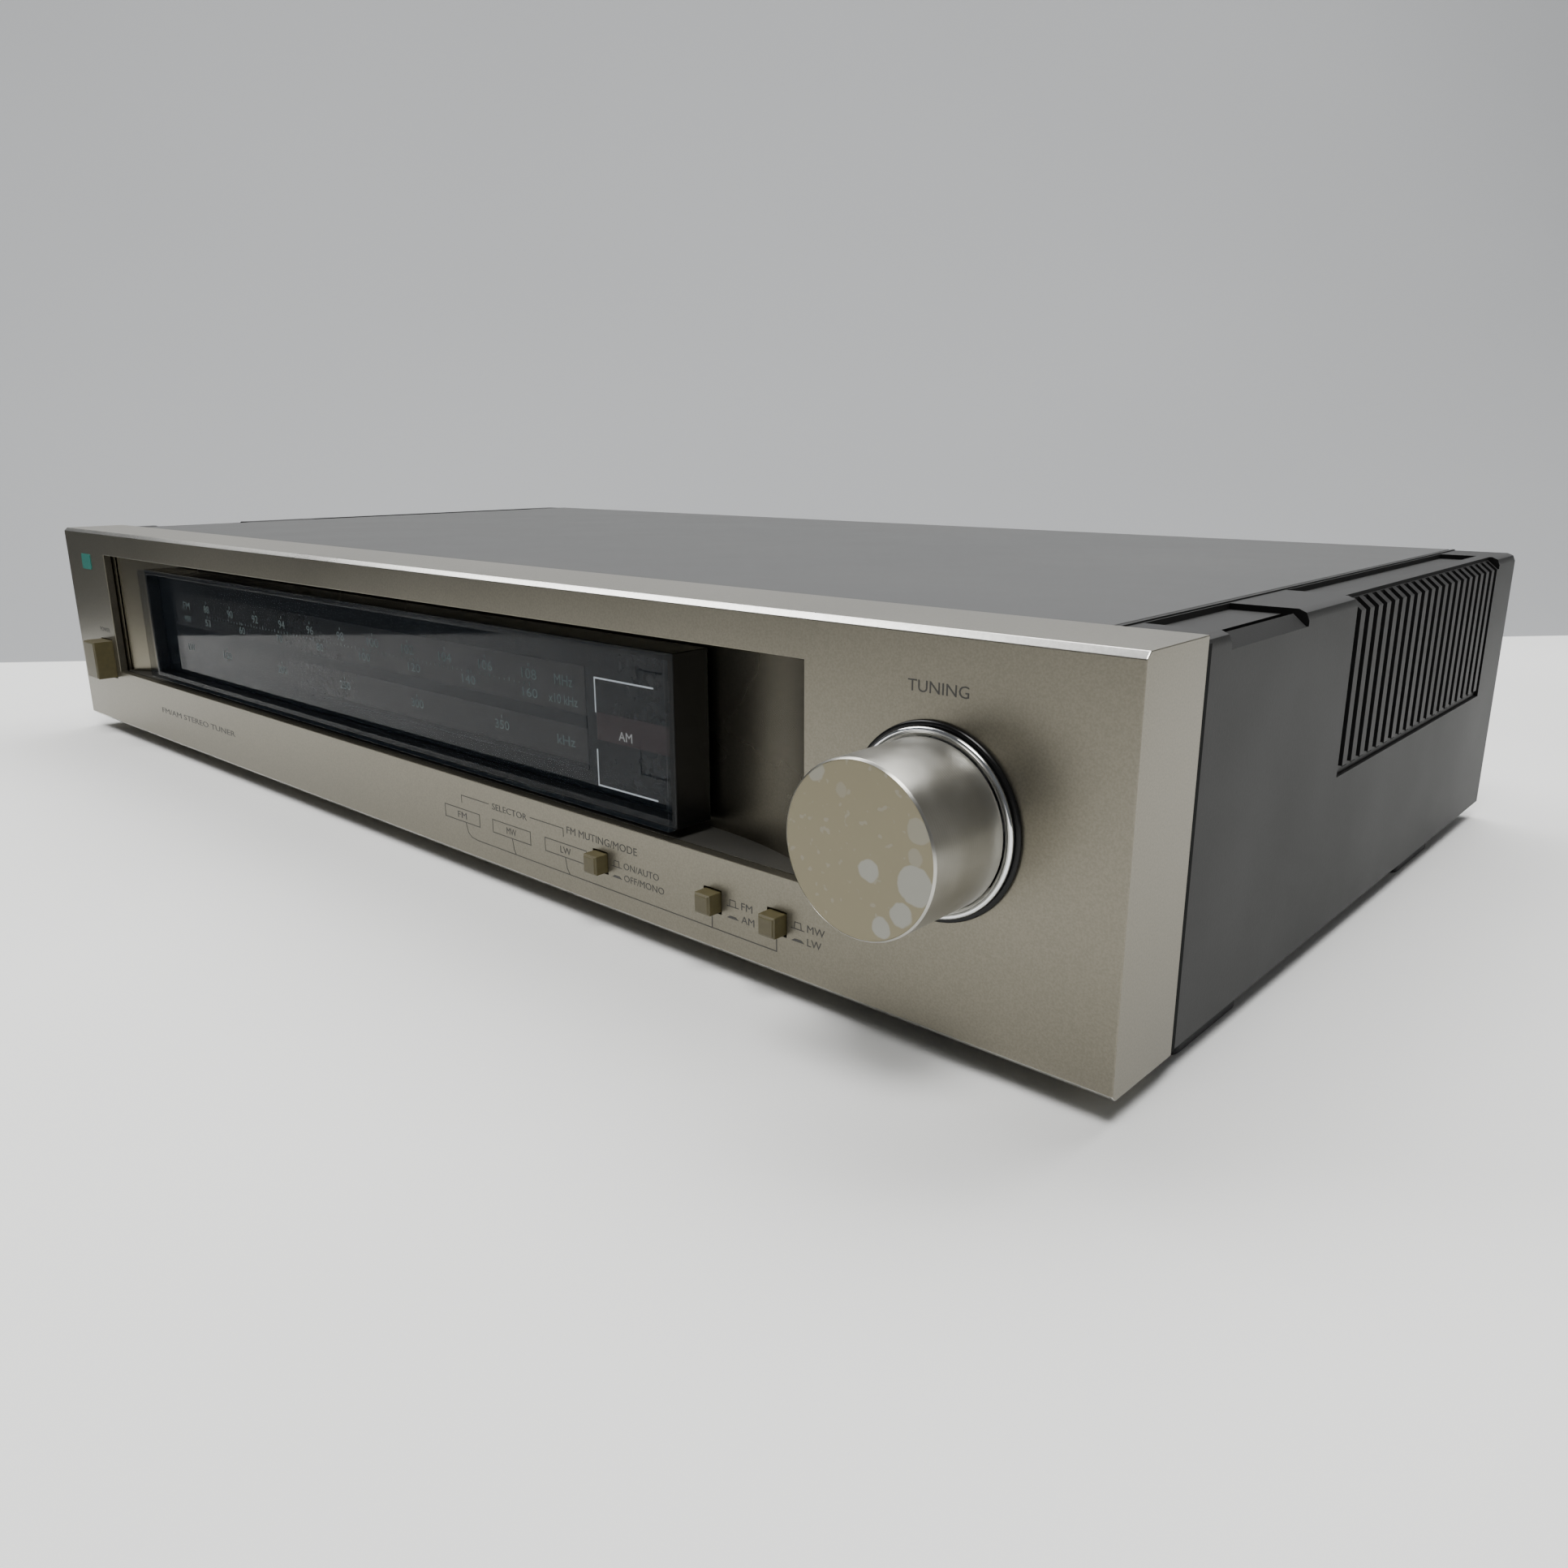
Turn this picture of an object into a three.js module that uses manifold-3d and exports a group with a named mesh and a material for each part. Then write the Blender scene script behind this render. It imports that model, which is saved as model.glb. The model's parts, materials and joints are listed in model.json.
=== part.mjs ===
// Slim AM/FM stereo tuner of the early 1980s: a silver fascia with a long dial recess, a turned tuning
// knob, four push buttons, a dark sheet-metal case between two moulded side panels, and the dial drive.
// Millimetres, +X right, +Y to the rear, +Z up. The origin is on the floor under the middle of the part.

import * as THREE from 'three';
import { mergeVertices } from 'three/addons/utils/BufferGeometryUtils.js';
import Module from 'manifold-3d';

const wasm = await Module();
wasm.setup();

// ---------------------------------------------------------------- driving dimensions

const WIDTH = 430;
const HEIGHT = 70.5; // fascia height, without the feet
const DEPTH = 220.5; // front face to the back of the side panels
const FOOT_HEIGHT = 4.6;
const GAP = 0.3; // air left between two pieces that touch
const ROUND = 36; // sides of a round piece
const MIDDLE_ROUND = 24;
const SMALL_ROUND = 16;

// fascia
const FASCIA_DEPTH = 20.7;
const FASCIA_FACE = 2.5;
const FASCIA_WALL = 2.2;
const FASCIA_CHAMFER = 1.1;
const OPENING = { left: -179.4, right: 151.5, low: 20.5, high: 62.3 };

// dial: the recess tray, and the black block that stands in it
const TRAY_WALL = 1.2;
const TRAY_DEPTH = 13.5; // front face to the tray's back wall
const TRAY_SWEEP = 45; // length of the swept end walls
const TRAY_OVERLAP = 2; // how far the tray reaches behind the face beside the opening
const TRAY_LEDGE = 0.1; // its floor lies just under the opening's edge
const TRAY_SEGMENTS = 12;
const DIAL = { left: -150, right: 115, low: 22.5, high: 59 };
const GLASS_THICK = 2;
const DIAL_WALL = 1.6;
const DIAL_BACK = 12;
const SCALE_FRONT = 6;
const SCALE_THICK = 1;
const WINDOW = { left: -142, right: 106, low: 25.5, high: 56.5 }; // light window in the tray's back

// tuning knob, its bezel and its chrome ring
const KNOB = { x: 179.8, z: 38.4, radius: 14.7, front: -20, back: -1.6 };
const BEZEL_RADIUS = 17.15;
const BEZEL_TUBE = 16.3;
const RING_LIP = 16.3; // the chrome ring's front edge, in front of the bezel
const RING_OUTER = 15.8;
const RING_INNER = 14.95;
const SHAFT_RADIUS = 3;

// push buttons: centre, size, how far they stand out, and the stem behind them
const BUTTON_TRAVEL = 2.8;
const POWER_TRAVEL = 5;
const BUTTON_CLEARANCE = 0.35;
const BUTTONS = [
  { name: 'power', x: -188.5, z: 24.6, wide: 10, tall: 13.4, out: 6.5, stem: 5, travel: POWER_TRAVEL },
  { name: 'muting', x: 92.4, z: 11.05, wide: 4.3, tall: 4.3, out: 3.3, stem: 2.6, travel: BUTTON_TRAVEL },
  { name: 'band', x: 127.3, z: 11.05, wide: 4.3, tall: 4.3, out: 3.3, stem: 2.6, travel: BUTTON_TRAVEL },
  { name: 'wave', x: 144.7, z: 11.05, wide: 4.3, tall: 4.3, out: 3.3, stem: 2.6, travel: BUTTON_TRAVEL },
];

// case
const SHEET = 1.2;
const CHASSIS_HALF = 197;
const BRACKET_FRONT = 21.6;
const REAR_PANEL_FRONT = 217.2;
const COVER_HALF = 198.1;
const COVER_TOP = 70.2;
const COVER_FLANGE = 16;
const COVER_SHEET = 0.8;
const COVER_SCREWS = [-150, 0, 150];
const COVER_SCREW_Z = COVER_TOP - 5;
const PAN_LOW = 0.6; // underside of the chassis pan
const PAN_WALL_TOP = 52;
const PAN_SLOTS = { left: -160, pitch: 34, count: 10, wide: 3, front: 110, back: 150 };
const INNER_TOP = COVER_TOP - SHEET - 0.5; // top of the two upright sheets under the cover
const COVER_BACK = DEPTH - 0.6;
const REAR_FLANGE = 9; // height of the cover's rear flange
const SCREW = { thread: 1.5, long: 6.5, head: 3.2, tall: 1.9, hole: 1.9 };

// side panels
const SIDE_INNER = 198.6;
const SIDE_OUTER = 214.4;
const SIDE_FRONT = 21.5;
const SIDE_TOP = 69.9;
const SIDE_CHAMFER = 2;
const SIDE_WALL = 2.2;
const SIDE_TOP_WALL = 3.5;
const RIDGE_WIDTH = 0.8;
const RIDGE_TOP = 70.2;
const POCKET_DEPTH = 1.15;
const POCKET_INNER = 199.8;
const FRONT_POCKET = { from: 30, to: 65, outer: 209.4 };
const REAR_POCKET = { from: 93, to: 204.5, outer: 208.5 };
const LIP = { topX: 211.8, topZ: 69.1, lowZ: 66.9, notch: 1 }; // slope that replaces the top edge's chamfer
const LIPS = [{ from: 31, to: 64 }, { from: 91.2, to: 202.4 }]; // beside the front pocket, and over the vents
const GROOVE_DEPTH = 1.6; // of the gap between the front pocket's floor and the lip, below that floor
const VENT = { from: 91.2, pitch: 5.375, slot: 2.7, count: 21, low: 34.5, inner: 211.9, groove: 0.9 };
const FOOT = { wide: 13.4, long: 28, corner: 2.5, x: 205.7, front: 42, rear: 167 };

// dial drive, all of it in one plane behind the tray
const DRIVE_Y = 18;
const STRING_RADIUS = 0.4;
const WHEEL_HALF = 2.4; // half the thickness of a string wheel
const WHEEL_FLANGE = 1.4; // how far its flanges stand out past the string
const BORE_PLAY = 0.05;
const DRUM = { x: 128, z: 38, radius: 16, axle: 2 }; // radius of the string on it, as for the two below
const SPINDLE = { x: KNOB.x, z: KNOB.z, radius: 5 };
const IDLER = { x: -165, z: 48, radius: 6, pin: 1.5 };
const POINTER_REST = -28;
const RAIL = { z: 47.5, radius: 1.5, left: -157, right: 109 };
const GEAR_MODULE = 0.8;
const PINION_TEETH = 10;
const GEAR_TEETH = 40;
const GEAR_FRONT = 25;
const GEAR_THICK = 3.5;
const FLYWHEEL = { radius: 15, front: 28, back: 36, hub: 6, rim: 5, web: 2.5 };

// dial lamps, above the pointer
const LAMP = { left: -105, right: 60, z: 61.8, radius: 2.2 };

// tuning capacitor, driven by the gear
const GEAR_CENTRES = GEAR_MODULE * (PINION_TEETH + GEAR_TEETH) / 2;
const CAPACITOR = { x: DRUM.x - GEAR_CENTRES, front: 32, back: 66 };
const ROTOR = { radius: 13, plates: 6, shaft: 2.5 };

// board and the pieces on it
const BOARD = { left: -92, right: 190, front: 80, back: 208, low: 9, thick: 1.6 };
const BOARD_TOP = BOARD.low + BOARD.thick + GAP;
const TRANSFORMER = { x: -140, y: 150 };
const SHIELD = { left: 120, right: 180, front: 120, back: 190, tall: 22, wells: 4 };
const LARGE_CAPACITOR = { x: -70, y: 150, radius: 11, tall: 34 };
const SMALL_CAPACITOR = { x: -70, y: 180, radius: 8, tall: 26 };
const HEAT_SINK = { left: -60, pitch: 7.7, fins: 6, front: 100, back: 114.5, web: 1.5, tall: 30 };

// rear
const REAR_REACH = 20; // how far the antenna reaches behind the case
const ANTENNA = { x: -70, z: 50, y: DEPTH + REAR_REACH - 4.9, long: 112, radius: 4.9 };
const PIVOT = { x: ANTENNA.x, radius: 2 };
const GLAND = { x: -165, z: 22, radius: 6.5, bore: 3.6 };
const JACKS = { x: 160, z: 32, spacing: 14, sleeve: 4.2, hole: 1.6 };
const TERMINALS = { x: 95, z: 30, count: 4, pitch: 15, screw: 4 };

// ---------------------------------------------------------------- materials

const finish = (color, roughness, metalness, extra = {}) =>
  new THREE.MeshStandardMaterial({ color, roughness, metalness, ...extra });

const silverPaint = finish(0xa8a498, 0.42, 0.7);
const turnedAluminium = finish(0xbcb8ac, 0.32, 0.9);
const chrome = finish(0xd8dadc, 0.1, 1);
const caseGrey = finish(0x4b4b49, 0.5, 0.3);
const mouldedBlack = finish(0x3a3a38, 0.55, 0);
const gloss = finish(0x101113, 0.2, 0);
const khaki = finish(0x8c8468, 0.5, 0);
const smokedGlass = finish(0x2c3338, 0.08, 0, { transparent: true, opacity: 0.5 });
const zincSteel = finish(0xa9adb0, 0.4, 0.9);
const brass = finish(0xb7975a, 0.35, 0.9);
const whitePlastic = finish(0xd9d7cd, 0.5, 0);
const redPlastic = finish(0xc23a26, 0.4, 0);
const boardResin = finish(0x8a6b3c, 0.6, 0);
const softRubber = finish(0x1d1d1d, 0.8, 0);
const ferriteGrey = finish(0x34363a, 0.6, 0.1);
const copperTape = finish(0xb06a3e, 0.4, 0.8);
const sleeveBlue = finish(0x28405e, 0.4, 0);
const anodisedBlack = finish(0x2b2b2b, 0.5, 0.6);

// ---------------------------------------------------------------- solids

function solid(geometry) {
  const bare = geometry.index ? geometry.toNonIndexed() : geometry.clone();
  bare.deleteAttribute('normal');
  bare.deleteAttribute('uv');
  const merged = mergeVertices(bare, 1e-4);
  const vertProperties = new Float32Array(merged.getAttribute('position').array);
  const triVerts = new Uint32Array(merged.index.array);
  return new wasm.Manifold(new wasm.Mesh({ numProp: 3, vertProperties, triVerts }));
}

function geometryOf(manifold) {
  const mesh = manifold.getMesh();
  const geometry = new THREE.BufferGeometry();
  geometry.setAttribute('position', new THREE.BufferAttribute(new Float32Array(mesh.vertProperties), 3));
  geometry.setIndex(new THREE.BufferAttribute(new Uint32Array(mesh.triVerts), 1));
  geometry.computeVertexNormals();
  return geometry;
}

const joined = (first, ...rest) => rest.reduce((sum, piece) => sum.add(piece), first);
const cut = (first, ...rest) => rest.reduce((left, tool) => left.subtract(tool), first);

function block(x0, x1, y0, y1, z0, z1) {
  const geometry = new THREE.BoxGeometry(x1 - x0, y1 - y0, z1 - z0);
  geometry.translate((x0 + x1) / 2, (y0 + y1) / 2, (z0 + z1) / 2);
  return solid(geometry);
}

function outline(points) {
  return new THREE.Shape(points.map(([a, b]) => new THREE.Vector2(a, b)));
}

function extruded(shape, depth, curveSegments = 4) {
  return new THREE.ExtrudeGeometry(shape, { depth, curveSegments, bevelEnabled: false });
}

// an outline in (x, y), standing from z0 to z1
function upright(shape, z0, z1, curveSegments) {
  return solid(extruded(shape, z1 - z0, curveSegments).translate(0, 0, z0));
}

// an outline in (x, z), reaching from y0 back to y1
function facing(shape, y0, y1) {
  return solid(extruded(shape, y1 - y0).rotateX(Math.PI / 2).translate(0, y1, 0));
}

// an outline in (y, z), running from x0 to x1
function along(shape, x0, x1) {
  const turn = new THREE.Matrix4().makeBasis(
    new THREE.Vector3(0, 1, 0),
    new THREE.Vector3(0, 0, 1),
    new THREE.Vector3(1, 0, 0),
  );
  return solid(extruded(shape, x1 - x0).applyMatrix4(turn).translate(x0, 0, 0));
}

function roundedRectangle(wide, tall, corner) {
  const shape = new THREE.Shape();
  const w = wide / 2 - corner;
  const h = tall / 2 - corner;
  shape.absarc(w, h, corner, 0, Math.PI / 2);
  shape.absarc(-w, h, corner, Math.PI / 2, Math.PI);
  shape.absarc(-w, -h, corner, Math.PI, 1.5 * Math.PI);
  shape.absarc(w, -h, corner, 1.5 * Math.PI, 2 * Math.PI);
  return shape;
}

// turned pieces: profile points are (radius, distance along the axis), the axis ends up along +Y
function turned(profile, sides = ROUND) {
  return new THREE.LatheGeometry(profile.map(([r, y]) => new THREE.Vector2(r, y)), sides);
}

function rod(x, z, radius, y0, y1, sides = SMALL_ROUND) {
  return solid(turned([[0, y0], [radius, y0], [radius, y1], [0, y1]], sides).translate(x, 0, z));
}

function rodAlongX(y, z, radius, x0, x1, sides = SMALL_ROUND) {
  const geometry = turned([[0, x0], [radius, x0], [radius, x1], [0, x1]], sides).rotateZ(-Math.PI / 2);
  return solid(geometry.translate(0, y, z));
}

function rodAlongZ(x, y, radius, z0, z1, sides = SMALL_ROUND) {
  const geometry = turned([[0, z0], [radius, z0], [radius, z1], [0, z1]], sides).rotateX(Math.PI / 2);
  return solid(geometry.translate(x, y, 0));
}

// ---------------------------------------------------------------- the assembly

const tuner = new THREE.Group();
const cabinet = new THREE.Group(); // y = 0 at the fascia's face, z = 0 at its underside
cabinet.position.set(0, -DEPTH / 2, FOOT_HEIGHT);
tuner.add(cabinet);

function place(name, shape, material, parent = cabinet) {
  const geometry = shape.isBufferGeometry ? shape : geometryOf(shape);
  const mesh = new THREE.Mesh(geometry, material);
  mesh.name = name;
  parent.add(mesh);
  return mesh;
}

// ---------------------------------------------------------------- fascia

function frontFascia() {
  const c = FASCIA_CHAMFER;
  const profile = outline([
    [0, c], [c, 0], [FASCIA_DEPTH, 0], [FASCIA_DEPTH, HEIGHT], [c, HEIGHT], [0, HEIGHT - c],
  ]);
  const inside = WIDTH / 2 - FASCIA_WALL;
  let body = cut(
    along(profile, -WIDTH / 2, WIDTH / 2),
    block(-inside, inside, FASCIA_FACE, FASCIA_DEPTH + 1, FASCIA_WALL, HEIGHT - FASCIA_WALL),
    block(OPENING.left, OPENING.right, -1, FASCIA_FACE + 1, OPENING.low, OPENING.high),
    rod(KNOB.x, KNOB.z, BEZEL_TUBE + GAP, -1, FASCIA_FACE + 1, ROUND),
  );
  for (const button of BUTTONS) {
    const w = button.wide / 2 + BUTTON_CLEARANCE;
    const h = button.tall / 2 + BUTTON_CLEARANCE;
    body = body.subtract(block(button.x - w, button.x + w, -1, FASCIA_FACE + 1, button.z - h, button.z + h));
  }
  return body;
}

// plan of the tray: straight back wall, and end walls that sweep forward to the face
function trayPlan(grow) {
  const front = FASCIA_FACE + GAP;
  const back = TRAY_DEPTH + grow;
  const left = OPENING.left - TRAY_OVERLAP - grow;
  const right = OPENING.right + TRAY_OVERLAP + grow;
  const pull = TRAY_SWEEP / 2.6; // to the sweep's control point
  const shape = new THREE.Shape();
  shape.moveTo(left, front);
  shape.lineTo(right, front);
  shape.quadraticCurveTo(right - pull, back, right - TRAY_SWEEP, back);
  shape.lineTo(left + TRAY_SWEEP, back);
  shape.quadraticCurveTo(left + pull, back, left, front);
  return shape;
}

function recessTray() {
  const low = OPENING.low - TRAY_LEDGE;
  const high = OPENING.high + TRAY_LEDGE;
  const w = WINDOW;
  return cut(
    upright(trayPlan(TRAY_WALL), low - TRAY_WALL, high + TRAY_WALL, TRAY_SEGMENTS),
    upright(trayPlan(0), low, high, TRAY_SEGMENTS),
    block(OPENING.left - 1, OPENING.right + 1, 0, FASCIA_FACE + 2, OPENING.low, OPENING.high),
    block(w.left, w.right, TRAY_DEPTH - 1, TRAY_DEPTH + TRAY_WALL + 1, w.low, w.high),
  );
}

function dialHousing() {
  const front = GLASS_THICK + GAP;
  const back = DIAL_BACK;
  const w = DIAL_WALL;
  const outside = block(DIAL.left, DIAL.right, front, back, DIAL.low, DIAL.high);
  const inside = block(DIAL.left + w, DIAL.right - w, front - 1, back + 1, DIAL.low + w, DIAL.high - w);
  return cut(outside, inside);
}

function dialScale() {
  const inset = DIAL_WALL + GAP;
  return block(
    DIAL.left + inset, DIAL.right - inset, SCALE_FRONT, SCALE_FRONT + SCALE_THICK,
    DIAL.low + inset, DIAL.high - inset,
  );
}

place('front_fascia', frontFascia(), silverPaint);
place('recess_tray', recessTray(), silverPaint);
place('dial_housing', dialHousing(), gloss);
place('dial_glass', block(DIAL.left, DIAL.right, 0, GLASS_THICK, DIAL.low, DIAL.high), smokedGlass);
place('dial_scale', dialScale(), gloss);

// ---------------------------------------------------------------- tuning knob and shaft

const knobAxis = new THREE.Group();
knobAxis.position.set(KNOB.x, 0, KNOB.z);
cabinet.add(knobAxis);

function tuningKnob() {
  const edge = 0.7;
  const bore = SHAFT_RADIUS + BORE_PLAY;
  const boreEnd = KNOB.front + 4;
  const hub = bore + 2.5;
  const shell = KNOB.radius - 2.4; // inside of the knob's skirt
  return turned([
    [0, KNOB.front], [KNOB.radius - edge, KNOB.front], [KNOB.radius, KNOB.front + edge],
    [KNOB.radius, KNOB.back], [shell, KNOB.back], [shell, boreEnd + 1],
    [hub, boreEnd + 1], [hub, KNOB.back], [bore, KNOB.back], [bore, boreEnd], [0, boreEnd],
  ]);
}

function knobBezel() {
  const flangeBack = -GAP;
  const flangeFront = flangeBack - 0.6;
  const foot = RING_OUTER - 2.2;
  const footFront = 6.8;
  const back = 8;
  const seat = RING_OUTER + 0.1;
  return turned([
    [seat, flangeFront], [BEZEL_RADIUS, flangeFront], [BEZEL_RADIUS, flangeBack], [BEZEL_TUBE, flangeBack],
    [BEZEL_TUBE, back], [foot, back], [foot, footFront], [seat, footFront], [seat, flangeFront],
  ]);
}

function knobTrimRing() {
  const front = KNOB.back - 0.3;
  const lipBack = front + 0.7;
  const back = 6.5;
  const foot = RING_INNER - 1.2;
  return turned([
    [RING_INNER, front + 0.4], [RING_INNER + 0.35, front], [RING_LIP - 0.3, front], [RING_LIP, front + 0.3],
    [RING_LIP, lipBack], [RING_OUTER, lipBack], [RING_OUTER, back], [foot, back], [foot, back - 1.2],
    [RING_INNER, back - 1.2], [RING_INNER, front + 0.4],
  ]);
}

// rim of a string wheel: a groove for the string between two flanges
function stringRim(radius, half = WHEEL_HALF) {
  const groove = radius - STRING_RADIUS - GAP;
  const rim = radius + WHEEL_FLANGE;
  const flange = 0.6;
  const bottom = 0.9; // half the width of the groove's flat bottom
  return [
    [rim, DRIVE_Y - half], [rim, DRIVE_Y - half + flange], [groove, DRIVE_Y - bottom],
    [groove, DRIVE_Y + bottom], [rim, DRIVE_Y + half - flange], [rim, DRIVE_Y + half],
  ];
}

function tuningShaft() {
  const front = KNOB.front + 4 + GAP;
  const back = FLYWHEEL.back + 1;
  return turned([
    [0, front], [SHAFT_RADIUS, front], [SHAFT_RADIUS, DRIVE_Y - WHEEL_HALF], ...stringRim(SPINDLE.radius),
    [SHAFT_RADIUS, DRIVE_Y + WHEEL_HALF], [SHAFT_RADIUS, back], [0, back],
  ], MIDDLE_ROUND);
}

function shaftBushing() {
  const bore = SHAFT_RADIUS + BORE_PLAY;
  const nut = { radius: 6.5, thick: 0.5 };
  const neck = 5;
  const seat = BRACKET_FRONT - GAP;
  const back = FLYWHEEL.front - 0.8;
  return turned([
    [bore, seat - nut.thick], [nut.radius, seat - nut.thick], [nut.radius, seat], [neck, seat],
    [neck, back], [bore, back], [bore, seat - nut.thick],
  ], MIDDLE_ROUND);
}

function flywheel() {
  const { radius, front, back, hub, rim, web } = FLYWHEEL;
  const bore = SHAFT_RADIUS + BORE_PLAY;
  return turned([
    [bore, front], [hub, front], [hub, front + web], [radius - rim, front + web], [radius - rim, front],
    [radius, front], [radius, back], [radius - rim, back], [radius - rim, back - web], [hub, back - web],
    [hub, back], [bore, back], [bore, front],
  ], MIDDLE_ROUND);
}

place('tuning_knob', tuningKnob(), turnedAluminium, knobAxis);
place('knob_bezel', knobBezel(), gloss, knobAxis);
place('knob_trim_ring', knobTrimRing(), chrome, knobAxis);
place('tuning_shaft', tuningShaft(), zincSteel, knobAxis);
place('shaft_bushing', shaftBushing(), brass, knobAxis);
place('flywheel', flywheel(), zincSteel, knobAxis);

// ---------------------------------------------------------------- push buttons and their switches

const SWITCH_FRONT = BRACKET_FRONT + SHEET + GAP;

function pushButton(button) {
  const w = button.wide / 2;
  const h = button.tall / 2;
  const s = button.stem / 2;
  const capBack = FASCIA_FACE + 3.5;
  const bevel = Math.min(0.35, button.wide / 10);
  const cap = block(-w, w, -button.out + bevel, capBack, -h, h);
  const nose = block(-w + bevel, w - bevel, -button.out, capBack, -h + bevel, h - bevel);
  const stem = block(-s, s, capBack - 1, SWITCH_FRONT + 5, -s, s);
  return joined(cap, nose, stem);
}

function buttonSwitch(button) {
  const w = Math.max(button.stem + 5, 7.6) / 2;
  const h = w * 0.95;
  const long = button.name === 'power' ? 32 : 18;
  const s = button.stem / 2 + 0.4;
  const wellEnd = SWITCH_FRONT + 5 + button.travel + 1;
  const body = block(-w, w, SWITCH_FRONT, SWITCH_FRONT + long, -h, h);
  return cut(body, block(-s, s, SWITCH_FRONT - 1, wellEnd, -s, s));
}

for (const button of BUTTONS) {
  const station = new THREE.Group();
  station.position.set(button.x, 0, button.z);
  cabinet.add(station);
  place(`${button.name}_button`, pushButton(button), khaki, station);
  const casing = button.name === 'power' ? gloss : whitePlastic;
  place(`${button.name}_switch`, buttonSwitch(button), casing, station);
}

// ---------------------------------------------------------------- dial drive

// leaves one round piece's rim and meets the next one, both wound the same way round
function tangent(a, b) {
  const dx = b.x - a.x;
  const dz = b.z - a.z;
  return Math.atan2(dz, dx) + Math.acos((a.radius - b.radius) / Math.hypot(dx, dz));
}

// one turn of string round the idler, the drum and the spindle, with its knot on the drum's underside
function dialStringCurve() {
  const stations = [];
  const wheels = [IDLER, DRUM, SPINDLE, DRUM];
  const knot = 0.05;
  const arc = (wheel, from, to) => {
    const steps = Math.max(2, Math.ceil(Math.abs(from - to) / 0.3));
    for (let i = 0; i <= steps; i += 1) {
      const angle = from + (to - from) * i / steps;
      const x = wheel.x + wheel.radius * Math.cos(angle);
      const z = wheel.z + wheel.radius * Math.sin(angle);
      stations.push(new THREE.Vector3(x, DRIVE_Y, z));
    }
  };
  const turns = wheels.map((wheel, i) => {
    const arrive = tangent(wheels[(i + 3) % 4], wheel);
    const leave = tangent(wheel, wheels[(i + 1) % 4]);
    return { wheel, arrive, leave: leave > arrive ? leave - 2 * Math.PI : leave };
  });
  const last = turns[3];
  arc(last.wheel, last.leave + (last.arrive - last.leave) / 2 - knot, last.leave);
  for (const { wheel, arrive, leave } of turns.slice(0, 3)) {
    arc(wheel, arrive, leave);
  }
  arc(last.wheel, last.arrive, last.leave + (last.arrive - last.leave) / 2 + knot);
  return stations;
}

class StationCurve extends THREE.Curve {
  constructor(stations) {
    super();
    this.stations = stations;
  }

  getPoint(t, target = new THREE.Vector3()) {
    const last = this.stations.length - 1;
    const at = Math.min(t * last, last - 1e-9);
    const i = Math.floor(at);
    return target.lerpVectors(this.stations[i], this.stations[i + 1], at - i);
  }

  getPointAt(u, target) {
    return this.getPoint(u, target);
  }

  getTangentAt(u, target = new THREE.Vector3()) {
    const last = this.stations.length - 1;
    const i = Math.round(u * last);
    const before = this.stations[Math.max(i - 1, 0)];
    const after = this.stations[Math.min(i + 1, last)];
    return target.subVectors(after, before).normalize();
  }
}

function dialString() {
  const stations = dialStringCurve();
  const section = new THREE.Shape();
  section.absarc(0, 0, STRING_RADIUS, 0, 2 * Math.PI);
  return new THREE.ExtrudeGeometry(section, {
    steps: stations.length - 1,
    curveSegments: 4,
    bevelEnabled: false,
    extrudePath: new StationCurve(stations),
  });
}

function gear(teeth, y0, y1) {
  const pitch = GEAR_MODULE * teeth / 2;
  const tip = pitch + GEAR_MODULE * 0.75;
  const root = pitch - GEAR_MODULE * 1.05;
  const points = [];
  for (let i = 0; i < teeth; i += 1) {
    const middle = 2 * Math.PI * i / teeth;
    const step = 2 * Math.PI / teeth;
    for (const [radius, share] of [[root, -0.3], [tip, -0.1], [tip, 0.1], [root, 0.3]]) {
      const angle = middle + share * step;
      points.push([radius * Math.cos(angle), radius * Math.sin(angle)]);
    }
  }
  return facing(outline(points), y0, y1);
}

function dialDrum() {
  const front = DRIVE_Y - WHEEL_HALF;
  const back = DRIVE_Y + WHEEL_HALF;
  const hub = 5;
  const dish = DRUM.radius - 3; // the front is dished between hub and rim
  const wheel = solid(turned([
    [0, front], [hub, front], [hub, front + 1], [dish, front + 1], [dish, front], ...stringRim(DRUM.radius),
    [0, back],
  ]));
  const gearBack = GEAR_FRONT + GEAR_THICK;
  const axle = rod(0, 0, DRUM.axle, back - 1, gearBack + 2);
  return joined(wheel, axle, gear(PINION_TEETH, GEAR_FRONT, gearBack));
}

function idlerPulley() {
  const half = WHEEL_HALF - 0.2;
  const bore = IDLER.pin + 0.1;
  return turned([
    [bore, DRIVE_Y - half], ...stringRim(IDLER.radius, half), [bore, DRIVE_Y + half], [bore, DRIVE_Y - half],
  ], MIDDLE_ROUND);
}

function idlerPin() {
  const headFront = DRIVE_Y - 3;
  const headBack = headFront + 0.5;
  const back = BRACKET_FRONT + SHEET + 1;
  return turned([
    [0, headFront], [2.6, headFront], [2.6, headBack], [IDLER.pin, headBack], [IDLER.pin, back], [0, back],
  ], SMALL_ROUND);
}

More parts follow.
